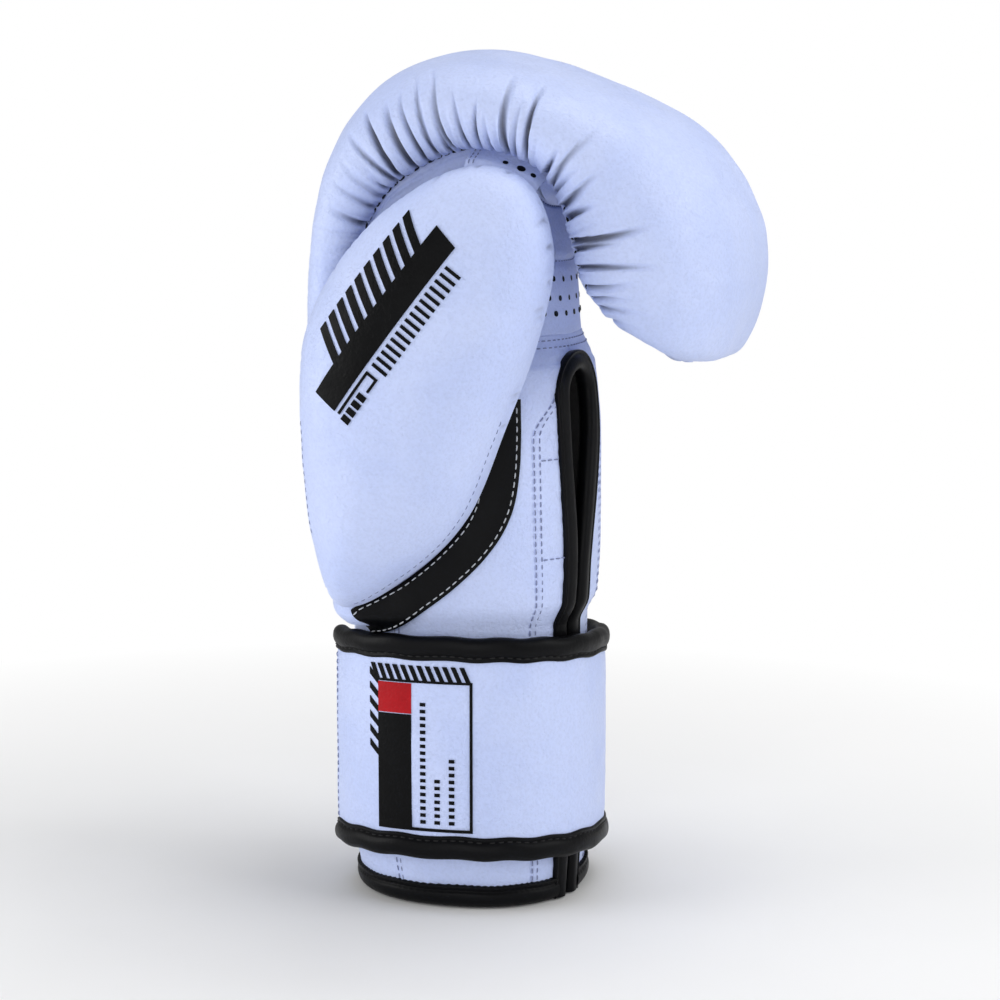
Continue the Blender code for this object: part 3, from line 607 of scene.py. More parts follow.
def roll_grid(stations, columns):
    """Points over the roll, from the little-finger seam to the thumb seam, with the distance from
    the nearer seam."""
    inner, up, depth, widest, seam = roll_section(stations)
    angle = np.linspace(math.pi, -math.pi, 361)
    sine, cosine = np.sin(angle), np.cos(angle)
    power = 2 / SQUARENESS
    share = np.linspace(-1, 1, columns)
    share = np.sign(share) * (1 - (1 - np.abs(share)) ** 1.45)
    points, away = [], []
    for k in range(len(stations)):
        low = WIDEST * depth[k]
        side = np.where(cosine >= 0, widest[k] * np.abs(sine) ** power,
                        seam[k] + (widest[k] - seam[k]) * np.abs(sine))
        y = np.where(angle > 0, side, -side)
        y[180] = 0
        r = np.where(cosine >= 0, low + (depth[k] - low) * np.abs(cosine) ** power,
                     low * (1 + cosine))
        walked = lengths(np.stack([y, r], -1))
        at = (share + 1) / 2 * walked[-1]
        y, r = np.interp(at, walked, y), np.interp(at, walked, r)
        points.append(inner[k] + up[k] * r[:, None] + np.stack([0 * y, y, 0 * y], -1))
        away.append(np.minimum(at, walked[-1] - at))
    return np.array(points), np.array(away)


def seam_walk(stations):
    """Distance along the side seam from the roll's lower end."""
    fine = np.linspace(0, LAST_STATION, 600)
    rows = curve(ROLL, fine)
    return np.interp(stations, fine, lengths(rows[:, 2:4]))


TUCK = 7.0                      # the skin's lower end comes down this far behind the strap


def build_roll():
    """The skin over the back of the hand and the fingers, gathered into its two side seams."""
    fine = np.linspace(0, LAST_STATION, 2000)
    walk = seam_walk(fine)
    gathered = seam_walk(1.6)
    steps = np.concatenate([np.arange(-TUCK, gathered, 1.4), np.arange(gathered, walk[-1], 0.43),
                            [walk[-1]]])
    stations = np.interp(steps, walk, fine)
    points, away = roll_grid(stations, 168)
    points[..., 2] += np.minimum(steps, 0)[:, None]
    along = np.repeat(steps[:, None], points.shape[1], 1)
    thumb_side = np.arange(points.shape[1]) > points.shape[1] / 2
    height = np.zeros(points.shape[:2])
    first, full, late = seam_walk(3.6), seam_walk(4.5), seam_walk(10.2)
    for side, seed in ((thumb_side, 11), (~thumb_side, 23)):
        a, b = along[:, side], away[:, side]
        folds = pleats(a, b, seed, full, late)
        for start, stop, share in ((first, full, 3), (late, walk[-1] + 1, 4)):
            folds = np.minimum(folds, pleats(a, b, seed + share, start, stop, (3.4, 6),
                                             (1.2, 2.8), (12, 26)))
        small = pleats(a, b, seed + 1, first - 6, walk[-1], (1.7, 3.6), (0.3, 0.9), (5, 24),
                       (0.7, 1.3))
        height[:, side] = np.minimum(folds, small) + 0.3 * np.maximum(folds, small)
    fade = np.clip(1 - away / 34, 0, 1)
    # How deep each fold is, which the material darkens as painted shade
    crease = ease((-height - 0.4) / 1.7)
    drawn = np.stack([along * 0.42, away * 0.07, 0 * away], -1)
    puff = 1.0 * fade * ease((along - gathered) / 20)
    soft = 0.7 * rough(points, 38) + 0.3 * rough(points, 11, 5.0)
    wrinkles = -0.8 * fade * np.abs(rough(drawn, 1.0, 9.0)) - 0.25 * fade * np.abs(
        rough(drawn * 2.3, 1.0, 2.0))
    height = height + puff + soft * ease(away / 20) + wrinkles
    lift = LEATHER * ease(away / 8) + height * ease(away / 0.9)
    tip = np.clip((steps - walk[-1] + 5) / 5, 0, 1)[:, None]
    tuck = np.clip(-steps / TUCK, 0, 1)[:, None]
    lift = lift - 1.6 * tip ** 2 - 4.2 * tuck ** 2.5
    points = points + normals(points) * lift[..., None]
    sheet("padded_roll_skin", points, LEATHER_CREASE_SHADED, FIST_BEND,
          ("back_shell", "finger_shell", "back_foam", "finger_foam_inner", "finger_foam_outer",
           "knuckle_lining"), wall=0, crease=crease, sharp=80)


def seam_threads():
    """Dark stitches that gather the skin into its side seams."""
    inner, up, _, _, half = roll_section(np.linspace(2.6, LAST_STATION - 0.1, 500))
    threads = []
    for side in (-1, 1):
        path = inner - up * 0.5
        path[:, 1] = side * (half + 0.7)
        threads.append((path, np.array((0, side * 0.9, 0)) - up * 0.5))
    thread("gathering_thread", threads, THREAD_DARK, FIST_BEND, pitch=2.9,
           length=2.3, radius=0.38)


def finger_inside():
    """Leather inside the curled fingers, from the crease to a lip at the fingertips."""
    stations = np.linspace(SPLIT_STATION, LAST_STATION, 110)
    inner, up, _, _, seam = roll_section(stations)
    share = np.linspace(1, -1, 101)
    half = seam + 0.2
    deep = CREASE_DEPTH * np.clip(SPLIT_STATION + 1 - stations, 0, 1) ** 1.3
    inward = deep[:, None] * (1 - np.abs(share) ** 3) + 2.6 * (1 - share ** 4) * ease(
        (stations - 7.6)[:, None])
    points = (inner[:, None] - up[:, None] * inward[..., None]
              + half[:, None, None] * share[None, :, None] * np.array((0, 1, 0)))
    lip = []
    ahead = np.array((-up[-1][2], 0, up[-1][0]))
    ahead *= -np.sign(ahead[2])
    edge = roll_grid(stations[-1:], 121)[0][0]
    edge = edge[np.argsort(-edge[:, 1])]
    edge = between(edge, -edge[:, 1], -points[-1][:, 1] * 1.17)
    for t in np.linspace(0, 1, 15)[1:]:
        row = points[-1] + (edge - points[-1]) * t
        lip.append(row + ahead * 3.2 * math.sin(math.pi * t) ** 0.8 * (1 - share[:, None] ** 6))
    points = np.concatenate([points, np.array(lip)])
    along = np.repeat((half[0] * share)[None, :], len(points), 0)
    distance = np.linalg.norm(points - points[-1][None], axis=-1)
    tips = pleats(along, distance, 41, -34, 34, (4, 7), (0.3, 0.9), (6, 16))
    height = 0.4 * rough(points, 20, 3.0) + tips
    points = points + normals(points) * height[..., None]
    # The fingertips' folds get painted shade in their valleys
    sheet("finger_inside_leather", points, LEATHER_CREASE_SHADED, FIST_BEND,
          ("finger_inner_panel", "finger_lining"), crease=ease((-tips - 0.3) / 1.2), sharp=75)


# Palm side ------------------------------------------------------------------------------------------

CREASE_SHARE = 0.52             # of the palm leather's half width lies in the fingers' crease
SLIT_OUT = np.array((math.cos(math.radians(SLIT_ANGLE)), math.sin(math.radians(SLIT_ANGLE)), 0))
SLIT_SIDE = np.array((-SLIT_OUT[1], SLIT_OUT[0], 0))


def crease_line(share):
    """Top edge of the palm leather: along the side seams, and down into the crease between them."""
    inner, up = (part[0] for part in roll_section(np.array([SPLIT_STATION]))[:2])
    wide = np.sin(np.radians(np.abs(share) * SEAM_ANGLE)) / math.sin(
        math.radians(CREASE_SHARE * SEAM_ANGLE))
    q = np.clip(wide, 0, 1) ** 0.9
    deep = CREASE_DEPTH * (1 - q ** 3) - 1.6 * (1 - q ** 8)
    crease = inner - up * deep[:, None] + np.array((0, 1, 0)) * (q * 45.6)[:, None]
    crease[:, 0] -= 0.5
    station = SPLIT_STATION - 4 * np.clip((np.abs(share) - CREASE_SHARE) / (1 - CREASE_SHARE), 0, 1)
    rows = curve(ROLL, station)
    seam = np.stack([rows[:, 2], rows[:, 5] - 0.4, rows[:, 3] + 0.3], -1)
    edge = np.where((np.abs(share) < CREASE_SHARE)[:, None], crease, seam)
    edge[:, 1] *= np.sign(share)
    return edge


def palm_surface(share, rise):
    """Leather between the wrist panel's top, at rise 0, and the fingers, at rise 1."""
    share, rise = np.broadcast_arrays(np.asarray(share, float), np.asarray(rise, float))
    edge = crease_line(share.ravel()).reshape(*share.shape, 3)
    height = PANEL_TOP + (edge[..., 2] - PANEL_TOP) * rise
    side = hand_surface(share * SEAM_ANGLE, height)
    return side + (edge - side) * ease((rise - 0.3) / 0.7)[..., None]


def slit_hit(sideways, height, depth=0.0):
    """Where lines out through the opening, moved sideways, meet the hand tube at a depth."""
    centre, half_x, half_y = profile(TUBE, height).T
    near, far = np.zeros_like(height), np.full_like(height, 80.0)
    for _ in range(30):
        reach = (near + far) / 2
        point = SLIT_SIDE * sideways[:, None] + SLIT_OUT * reach[:, None]
        inside = (np.abs((point[:, 0] - centre) / (half_x - depth)) ** SQUARENESS
                  + np.abs(point[:, 1] / (half_y - depth)) ** SQUARENESS) < 1
        near, far = np.where(inside, reach, near), np.where(inside, far, reach)
    point = SLIT_SIDE * sideways[:, None] + SLIT_OUT * near[:, None]
    point[:, 2] = height
    return point


def slit_half_width(height):
    return SLIT_NARROW + (SLIT_WIDE - SLIT_NARROW) * ease((height - 112) / 62)


def slit_middle(height):
    """The opening's lower part hangs a little towards the thumb."""
    return np.interp(height, (0, 25, 100, 118, 150, 176), (-1.2, -1.4, -2.7, -2.9, -1.4, 0))


def slit_path(grow=0.0, low=0.4, count=260):
    """(sideways, height) up the opening's thumb-side leg, round its top and down the other leg."""
    shoulder = SLIT_TOP - SLIT_WIDE
    heights = np.linspace(low, shoulder, 90)
    leg = np.stack([-slit_half_width(heights) - grow, heights], -1)
    turn = np.linspace(0, math.pi, 40)[1:-1]
    top = np.stack([-(SLIT_WIDE + grow) * np.cos(turn), shoulder + (SLIT_WIDE + grow) * np.sin(turn)],
                   -1)
    path = even(np.vstack([leg, top, (leg * (-1, 1))[::-1]]), count)
    path[:, 0] += slit_middle(path[:, 1])
    return path


def in_slit(points, grow):
    """Which points lie within the opening, grown by that much."""
    height = points[..., 2]
    sideways = points @ SLIT_SIDE - slit_middle(height)
    shoulder = SLIT_TOP - SLIT_WIDE
    leg = (np.abs(sideways) < slit_half_width(height) + grow) & (height <= shoulder)
    top = np.hypot(sideways, height - shoulder) < SLIT_WIDE + grow
    return (points @ SLIT_OUT > 12) & (leg | (top & (height > shoulder)))


FACING_ANGLE = -47.0            # the stitched facing beside the opening ends here, thumb side
FACING_TOP = 178.0


def facing_angle(height):
    """The facing's outer edge, which runs in to the binding near the top."""
    return FACING_ANGLE + 15 * ease((height - (FACING_TOP - 17)) / 17) ** 1.5 + 2 * ease(
        (110 - height) / 60)


def build_wrist():
    """Leather of the palm side from the hem to the palm, with the opening cut out."""
    heights = np.linspace(HEM_TOP - 1.5, PANEL_TOP + 0.9, 230)[:, None]
    degrees = np.linspace(-SEAM_ANGLE, SEAM_ANGLE, 250)[None]
    points = hand_surface(degrees, heights)
    middle = (points[1:, 1:] + points[:-1, :-1]) / 2
    sideways = points @ SLIT_SIDE - slit_middle(points[..., 2])
    away = np.abs(sideways) - slit_half_width(points[..., 2])
    facing = np.abs(degrees - facing_angle(heights)) * 0.75
    height = (0.35 * rough(points, 24) + 0.12 * rough(points, 7, 2.0)
              - 0.45 * np.exp(-(facing / 1.1) ** 2) * (heights < FACING_TOP)
              - 0.35 * np.exp(-((PANEL_TOP - 7.5 - heights) / 1.2) ** 2))
    drawn = np.stack([points[..., 2] * 0.30, away * 0.06, 0 * away], -1)
    beside = np.exp(-np.clip(away - 5, 0, 99) / 5) * (points[..., 0] > 0)
    height = height - 0.5 * beside * np.abs(rough(drawn, 1.0, 4.0))
    points = points + normals(points) * height[..., None]
    sheet("wrist_leather", points, LEATHER_WHITE, "hand",
          ("wrist_panel", "cuff_foam"), keep=~in_slit(middle, 1.2))

    degrees = np.linspace(SEAM_ANGLE, 360 - SEAM_ANGLE, 160)[None]
    heights = np.linspace(HEM_TOP - 1.5, CUFF_TOP + 1.0, 110)[:, None]
    points = tube_point(TUBE, degrees, heights)
    height = 0.3 * rough(points, 20, 7.0) - 0.8 * ease((heights - CUFF_TOP + 2) / 3)
    points = points + normals(points) * height[..., None]
    sheet("back_cuff_leather", points, LEATHER_WHITE, "hand", ("back_cuff_panel",))


PALM_SEAMS = (0.47, 0.78)       # rows of stitches across the palm, as shares of its rise


def build_palm():
    """Leather over the palm, up into the crease under the fingers."""
    share = np.linspace(-1, 1, 221)[None]
    rise = np.linspace(0, 1, 90)[:, None]
    points = palm_surface(share, rise)
    seams = sum(np.exp(-((rise - level) / 0.018) ** 2) for level in PALM_SEAMS)
    wavy = np.stack([points[..., 1] * 0.05, points[..., 2] * 0.3, 0 * points[..., 0]], -1)
    height = (0.5 * rough(points, 17, 1.0) - 0.7 * seams + 0.9 * ease(rise / 0.03) - 0.9
              - 0.5 * np.abs(rough(wavy, 1.0, 6.0)) * ease((rise - 0.5) / 0.4))
    points = points + normals(points) * height[..., None]
    sheet("palm_leather", points, LEATHER_WHITE, "hand",
          ("palm_panel", "palm_foam", "side_gusset_thumb", "side_gusset_little_finger"))


def palm_threads():
    """Double rows where the palm meets the wrist panel, and single rows across the palm."""
    rows = []
    degrees = np.linspace(-SEAM_ANGLE + 6, SEAM_ANGLE - 6, 200)
    for below in (0.6, 2.9):
        rows.append(on_surface(hand_surface, degrees, np.full(200, PANEL_TOP - below), -0.1))
    for level, low in zip(PALM_SEAMS, (-0.9, -0.5)):
        share = np.linspace(low, 0.9, 200)
        points = palm_surface(share, np.full(200, level))
        beyond = palm_surface(share, np.full(200, level + 0.01)) - points
        across = palm_surface(share + 0.002, np.full(200, level)) - points
        away = unit(np.cross(across, beyond))
        rows.append((points - away * 0.75, away))
    thread("palm_thread", rows, THREAD_GREY, "hand", radius=0.26)


def facing_threads():
    """Rows along the facings on both sides of the opening."""
    rows = []
    heights = np.linspace(HEM_TOP + 1, FACING_TOP, 300)
    for shift in (0.0, 3.2):
        rows.append(on_surface(hand_surface, facing_angle(heights) + shift, heights, -0.1))
    far = np.linspace(HEM_TOP + 1, 172, 260)
    for shift in (0.0, 3.0):
        rows.append(on_surface(hand_surface, 4.5 + shift + 0 * far, far, -0.08))
    for height in (121.5, 155.5):
        degrees = np.linspace(facing_angle(height) + 3.4, SLIT_ANGLE - 11, 60)
        rows.append(on_surface(hand_surface, degrees, np.full(60, height), 0.05))
    thread("facing_thread", rows, THREAD_GREY, "hand", pitch=2.7, length=1.9,
           radius=0.25)


def cuff_threads():
    """Two rows of stitches along each of the cuff's side seams, up to the cuff's top under the padded
    back.
    """
    rows = []
    heights = np.linspace(HEM_TOP + 0.5, CUFF_TOP, 160)
    for degrees in (-SEAM_ANGLE, SEAM_ANGLE):
        for shift in (-1.2, 1.2):
            rows.append(on_surface(hand_surface, degrees * np.ones(160) + shift, heights, 0.0))
    thread("cuff_thread", rows, THREAD_GREY, "hand", radius=0.24)


def perforations():
    """Breathing holes in the palm, as dark eyelets set in the leather."""
    eyelet = ((1.0, -0.8), (0.95, 0.42), (0.5, 0.36))
    places, near = [], 0.004
    for row, level in enumerate((0.17, 0.28, 0.39)):
        for share in np.linspace(-0.36, 0.36, 9) + 0.045 * (row % 2):
            centre = palm_surface(share, level)
            across = unit(palm_surface(share + near, level) - centre)
            up = unit(palm_surface(share, level + near) - centre)
            places.append((centre, across, up, np.cross(across, up), eyelet))
    discs("palm_perforations", places, 12, LEATHER_BLACK, "hand")


# Bindings, opening and lining -----------------------------------------------------------------------

def smooth_ring(corners, count=56):
    """A closed profile through its corners, smoothed."""
    return even(curve(corners, np.linspace(0, len(corners), 400, endpoint=False), closed=True), count,
                closed=True)


HEM_PROFILE = (                 # share of the cuff's wall from its outer face, lift outwards, height
    (0.0, 0.5, 8.0), (0.0, 1.35, 7.2), (0.0, 0.9, 6.1), (0.0, 1.7, 5.0), (0.0, 1.9, 3.2),
    (0.0, 1.3, 1.2), (0.06, 0, 0.05), (0.5, 0, 0.0), (0.94, 0, 0.05), (1.05, 0, 1.6),
    (1.08, 0, 4.5), (1.0, 0, 7.6), (0.5, 0, 8.0),
)


def build_hem():
    """Bias binding folded round the cuff's hem, open at the slit."""
    ring = smooth_ring(HEM_PROFILE, 64)
    angles = np.linspace(SLIT_ANGLE + 9.6, SLIT_ANGLE + 350.4, 300)
    rings = []
    for degrees in angles:
        outer = tube_point(TUBE, degrees, ring[:, 2], ring[:, 1])
        inner = tube_point(CAVITY, degrees, ring[:, 2])
        point = outer + (inner - outer) * ring[:, :1]
        pucker = 0.18 * math.sin(degrees * 1.9) + 0.12 * math.sin(degrees * 5.3)
        point[:, 2] = np.where(ring[:, 2] > 5, point[:, 2] + pucker, point[:, 2])
        rings.append(point)
    loft("hem_binding_leather", np.array(rings), LEATHER_BLACK, "hand",
         ("hem_binding",))


SLIT_PROFILE = (                # sideways across the opening's edge, lift outwards
    (-3.9, 0.2), (-3.5, 1.0), (-2.6, 0.75), (-1.6, 1.35), (0.6, 1.75), (2.3, 1.1),
    (3.1, -0.8), (2.6, -3.0), (0.8, -4.6), (-1.5, -4.9), (-3.2, -3.4),
)


def build_slit():
    """The rolled binding of the opening."""
    path = slit_path()
    points = slit_hit(path[:, 0], path[:, 1])
    ahead = unit(np.gradient(points, axis=0))
    side = unit(np.cross(ahead, SLIT_OUT))
    out = np.cross(side, ahead)
    ring = smooth_ring(SLIT_PROFILE, 44)
    lumps = 1 + 0.05 * np.sin(lengths(points) / 9.0)
    rings = (points[:, None] + side[:, None] * ring[None, :, :1] * lumps[:, None, None]
             + out[:, None] * ring[None, :, 1:])
    rings[..., 2] = np.maximum(rings[..., 2], 0.1)
    loft("slit_binding_leather", rings[:, ::-1], LEATHER_BLACK, "hand",
         ("slit_binding",))


def build_slit_cloth():
    """The lining's cheeks inside the opening, and the tongue behind it."""
    inner = slit_path(grow=1.2, count=200)
    depths = np.linspace(2.5, 13.5, 8)
    cheeks = np.array([slit_hit(inner[:, 0], inner[:, 1], depth) for depth in depths])
    sheet("slit_cheeks", cheeks, LINING, "hand", wall=0.8)

    degrees = np.linspace(SLIT_ANGLE - 34, SLIT_ANGLE + 34, 90)[None]
    heights = np.linspace(6, PANEL_TOP, 150)[:, None]
    points = tube_point(CAVITY, degrees, heights, -0.4)
    drawn = np.stack([degrees * 0.22 + 0 * heights, heights * 0.02 + 0 * degrees,
                      0 * heights * degrees], -1)
    points = points + normals(points) * (0.8 * rough(drawn, 1.0, 3.0) - 0.4)[..., None]
    sheet("slit_tongue_cloth", points, LINING, "hand", ("slit_tongue",), wall=0.8)


def build_lining():
    """The hand space's lining, closed over the fingertips' end."""
    heights = np.concatenate([np.linspace(HEM_TOP - 1.0, LINING_TOP, 110),
                              np.full(12, LINING_TOP)])
    shrink = np.concatenate([np.ones(110), np.cos(np.linspace(0, math.pi / 2 * 0.97, 13)[1:])])
    degrees = np.linspace(0, 360, 121)[:-1][None]
    points = tube_point(CAVITY, degrees, heights[:, None], 0.9)
    middle = points.mean(axis=1, keepdims=True)
    points = middle + (points - middle) * shrink[:, None, None]
    points[110:, :, 2] += 4 * np.sin(np.linspace(0, math.pi / 2, 13)[1:])[:, None]
    inside = in_slit((points[1:] + points[:-1]) / 2, 1.5)
    points = points - normals(points, closed=True) * (0.5 * np.abs(rough(points, 16, 8.0)))[..., None]
    sheet("hand_lining_cloth", points, LINING, "hand", ("hand_lining",), wall=0.8,
          closed=True, keep=~inside)


def build_grip_bar():
    """The stuffed roll that the fingers close on."""
    low, high = (np.array(corner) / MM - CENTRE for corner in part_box("grip_bar"))
    middle, half = (low + high) / 2, (high - low) / 2
    rings = []
    around = np.linspace(0, 2 * math.pi, 33)[:-1]
    for t in np.linspace(-1, 1, 41):
        swell = (1 - abs(t) ** 8) ** 0.5 if abs(t) < 1 else 0.02
        rings.append(np.stack([middle[0] + half[0] * swell * np.cos(around),
                               np.full(32, half[1] * t),
                               middle[2] - half[2] * swell * np.sin(around)], -1))
    loft("grip_bar_cloth", rings, LINING, "hand", ("grip_bar",))


def side_y(surface, last_angle, x, z):
    """How far out a surface's thumb side lies over an x and z."""
    degrees = np.linspace(last_angle, -25, 300)
    row = surface(degrees, np.full(300, z))
    return np.interp(x, row[:, 0], row[:, 1])


def on_thumb_side(x, z):
    """Points of the hand's thumb side over an x and z. Behind the side seam they pass over the
    padded roll, and under it down to the cuff."""
    hand, tube = np.empty_like(x), np.empty_like(x)
    for k in np.ndindex(x.shape):
        hand[k] = side_y(hand_surface, -SEAM_ANGLE, x[k], z[k])
        tube[k] = side_y(lambda d, h: tube_point(TUBE, d, h), -150, x[k], z[k])
    beside_roll = -43.0
    over = beside_roll + (tube - beside_roll) * ease((104 - z) / 9)
    y = hand + (over - hand) * ease((-x - 5) / 12)
    return np.stack([x, y, z], -1)


def build_trim():
    """The black band along the thumb's foot, with a dashed row inside each edge."""
    count, width = 150, 12.2
    at = np.linspace(0, len(TRIM_MIDDLE) - 1, count)
    middle = curve(TRIM_MIDDLE, at)
    ahead = unit(np.gradient(middle, axis=0))
    across = np.stack([-ahead[:, 1], ahead[:, 0]], -1)
    share = np.linspace(-0.5, 0.5, 19)[:, None]
    place = middle[None] + across[None] * (width * share)[..., None]
    rows = on_thumb_side(place[..., 0], place[..., 1])
    away = normals(rows)
    crown = 1.15 + 0.5 * (1 - (2 * share) ** 8)
    rows = rows + away * crown[..., None]
    sheet("trim_band_leather", rows, LEATHER_BLACK, "hand", ("trim_band",),
          wall=1.5)
    dashes = [(rows[k] + away[k] * 0.08, away[k]) for k in (2, 16)]
    thread("trim_thread", dashes, THREAD_WHITE, "hand", pitch=3.1, length=2.1,
           radius=0.24)


# Thumb ----------------------------------------------------------------------------------------------

def thumb_rim():
    """The thumb's outline, as even steps in x and z."""
    count = len(THUMB_OUTLINE)
    return even(curve(THUMB_OUTLINE, np.linspace(0, count, 900, endpoint=False), closed=True), 260,
                closed=True)


def thumb_ring(rim, share):
    """A ring of the thumb's dome: at its rim for share 0 and at its crown for share 1."""
    middle = rim.mean(axis=0)
    out = rim - middle
    reach = max(math.cos(share * math.pi / 2), 0) ** 0.8
    rise = math.sin(share * math.pi / 2) ** 0.9
    flat = middle + out * max(reach, 0.02)
    y = THUMB_BASE_Y - THUMB_LEAN * (flat[:, 1] - THUMB_FOOT_Z) - THUMB_DEPTH * rise
    return np.stack([flat[:, 0], y, flat[:, 1]], -1)


# A bend between the hand and the thumb about the thumb's hinge; on the glove the thumb's foot stays on
# the hand while the rest turns out
THUMB_AXIS = HINGES["thumb_flex"] - CENTRE
THUMB_BEND = ("hand", "thumb", THUMB_AXIS + (0, 0, 2), THUMB_AXIS + (6, 0, 20))


def build_thumb():
    """The padded thumb: a dome of leather sewn to a flatter inner panel."""
    rim = thumb_rim()
    shares = np.linspace(0, 1, 70) ** 1.15
    dome = np.array([thumb_ring(rim, share) for share in shares])
    walked = lengths(np.vstack([rim, rim[:1]]))[:-1]
    along = np.repeat(walked[None], len(shares), 0)
    away = np.array([np.linalg.norm(ring - dome[0], axis=1) for ring in dome])
    folds = pleats(along, away, 5, 90, walked[-1] - 30, (2.8, 6), (0.5, 1.5), (5, 15), (0.6, 1.3))
    creases = pleats(along, away, 6, walked[-1] - 22, walked[-1] - 4, (4, 7), (0.6, 1.2), (8, 16),
                     (0.8, 1.4))
    height = (folds + creases + 0.45 * rough(dome, 26, 2.0) * ease(away / 10)
              + 0.12 * rough(dome, 8, 4.0))
    dome = dome + normals(dome, closed=True) * (height * ease(away / 1.0))[..., None]
    # How deep the folds are, for painted shade in their valleys
    crease = ease((-folds - creases - 0.3) / 1.3)
    inner = []
    ring = thumb_ring(rim, 0.0)
    middle = ring.mean(axis=0)
    for share in np.linspace(1, 0, 24)[:-1]:
        flat = middle + (ring - middle) * max(1 - share, 0.02)
        flat[:, 1] += 1.6 * math.sin(math.pi / 2 * share) * ease((flat[:, 2] - 125) / 40)
        inner.append(flat)
    rings = np.concatenate([np.array(inner), dome])
    crease = np.concatenate([np.zeros((len(inner), len(rim))), crease])
    obj = new_object("thumb_leather", rings, capped(len(rings), len(rim)))
    mark_crease_shade(obj, crease)
    obj.data.flip_normals()
    dress(obj, LEATHER_CREASE_SHADED, THUMB_BEND,
          ("thumb_outer_panel", "thumb_inner_panel", "thumb_foam", "thumb_lining"), sharp=75)
    thumb_threads(dome, walked)
    return dome


def thumb_threads(dome, walked):
    """The row along the foot, and the row up the back of the thumb."""
    away = -normals(dome, closed=True)
    rows = []
    for ring, low, high in ((14, 4, 96), (23, walked[-1] - 66, walked[-1] - 22)):
        picked = (walked > low) & (walked < high)
        path, out = dome[ring][picked], away[ring][picked]
        sideways = unit(path - dome.mean(axis=(0, 1)))
        facing = np.sign((out * sideways).sum(axis=1))[:, None]
        rows.append((path, sideways * 0.5 + out * facing))
    thread("thumb_thread", rows, THREAD_GREY, THUMB_BEND, pitch=2.8, length=1.9,
           radius=0.2)


# Ends of the thumb's print, as x and z
PRINT_LOW, PRINT_HIGH = np.array((-22.9, 175.3)), np.array((18.2, 227.7))
PRINT_LENGTH = np.linalg.norm(PRINT_HIGH - PRINT_LOW)


def print_patches():
    """Outlines of the thumb's print in its own axes: u along the band, v across it. A plain band,
    a row of slanted stripes over it, and thin lines and blocks under it."""
    patches = [((0, 0), (PRINT_LENGTH, 0), (PRINT_LENGTH + 1.5, 9.2), (0, 9.2))]
    for k in range(10):
        u = PRINT_LENGTH - 9.6 - 5.0 * k
        patches.append(((u, 9.0), (u + 3.1, 9.0), (u + 8.3, 20.2), (u + 5.2, 20.2)))
    patches.append(((0.3, -2.1), (18, -2.1), (18, -1.2), (0.3, -1.2)))
    patches.append(((17.1, -5.9), (18, -5.9), (18, -2.0), (17.1, -2.0)))
    patches.append(((12.4, -5.9), (17.3, -5.9), (17.3, -5.0), (12.4, -5.0)))
    for k in range(4):
        u = -0.6 + 3.1 * k
        patches.append(((u, -6.4), (u + 2.1, -6.4), (u + 2.1, -3.2), (u, -3.2)))
    for k in range(16):
        u = 20.5 + 2.6 * k
        patches.append(((u, -7.3), (u + 1.1, -7.3), (u + 1.1, -1.4), (u, -1.4)))
    return patches


def build_print(dome):
    """The generic stripes printed on the thumb, as a thin layer on its leather."""
    tree = BVHTree.FromPolygons([Vector(p) for p in dome.reshape(-1, 3)],
                                faces_of(*dome.shape[:2], closed=True))
    along = (PRINT_HIGH - PRINT_LOW) / PRINT_LENGTH
    over = np.array((-along[1], along[0]))
    flat, faces = patch_grid(print_patches(), (0.9, 0.9))
    points, lift = [], 0.14
    for x, z in PRINT_LOW + along * flat[:, :1] + over * flat[:, 1:]:
        point, away, _, _ = tree.ray_cast(Vector((x, -150, z)), Vector((0, 1, 0)))
        points.append(np.array(point) + np.array(away) * math.copysign(lift, -away.y))
    obj = new_object("thumb_print", points, [face[::-1] for face in faces])
    thicken(obj, 0.3)
    dress(obj, PRINT_BLACK, THUMB_BEND)


def build_lock():
    """The short strap between the side seam and the thumb's tip, with three plain dots."""
    count = 70
    rows = curve(ROLL, np.linspace(5.95, 7.3, count))
    t = np.linspace(0, 1, 26)[None, :]
    x = rows[:, 2:3] - 7.0 * t * np.linspace(0.3, 1, count)[:, None]
    y = -47.0 - 6.0 * ease(t / 0.3) - 8.0 * t ** 2.2 + 0 * x
    z = rows[:, 3:4] - 0.2 - 10.5 * t ** 0.85 - 1.0 * np.sin(np.pi * t)
    points = np.stack([x, y, z], -1)
    points = points + (0.25 * rough(points, 5.0, 3.0))[..., None] * np.array((0, -1, 0.3))
    bend = ("hand", "thumb", (0, -46.8, 0), (0, -58.5, 0))
    sheet("thumb_lock_leather", points, LEATHER_WHITE, bend, ("thumb_lock_strap",),
          wall=1.4)
    away = normals(points)
    dots, column = [], 5
    for place, radius in ((0.44, 0.95), (0.62, 1.45), (0.80, 0.95)):
        row = int(place * count)
        centre, out = points[row, column], away[row, column]
        across = unit(points[row + 1, column] - centre)
        dots.append((centre, across, np.cross(out, across), out, ((radius, -0.3), (radius, 0.2))))
    discs("thumb_lock_dots", dots, 16, PRINT_BLACK, bend)
    thread("thumb_lock_thread", [(points[k] + away[k] * 0.05, away[k]) for k in (3, 7)], THREAD_GREY,
           bend, pitch=2.4, length=1.6, radius=0.22)


# Wrist strap ----------------------------------------------------------------------------------------

def strap_bend(first, second, hinge):
    """A bend of the strap, spread over a few degrees about one of its hinges."""
    start = strap_point(np.array(hinge + 8.0), 60.0)
    end = strap_point(np.array(hinge - 8.0), 60.0)
    return first, second, start * (1, 1, 0), end * (1, 1, 0)


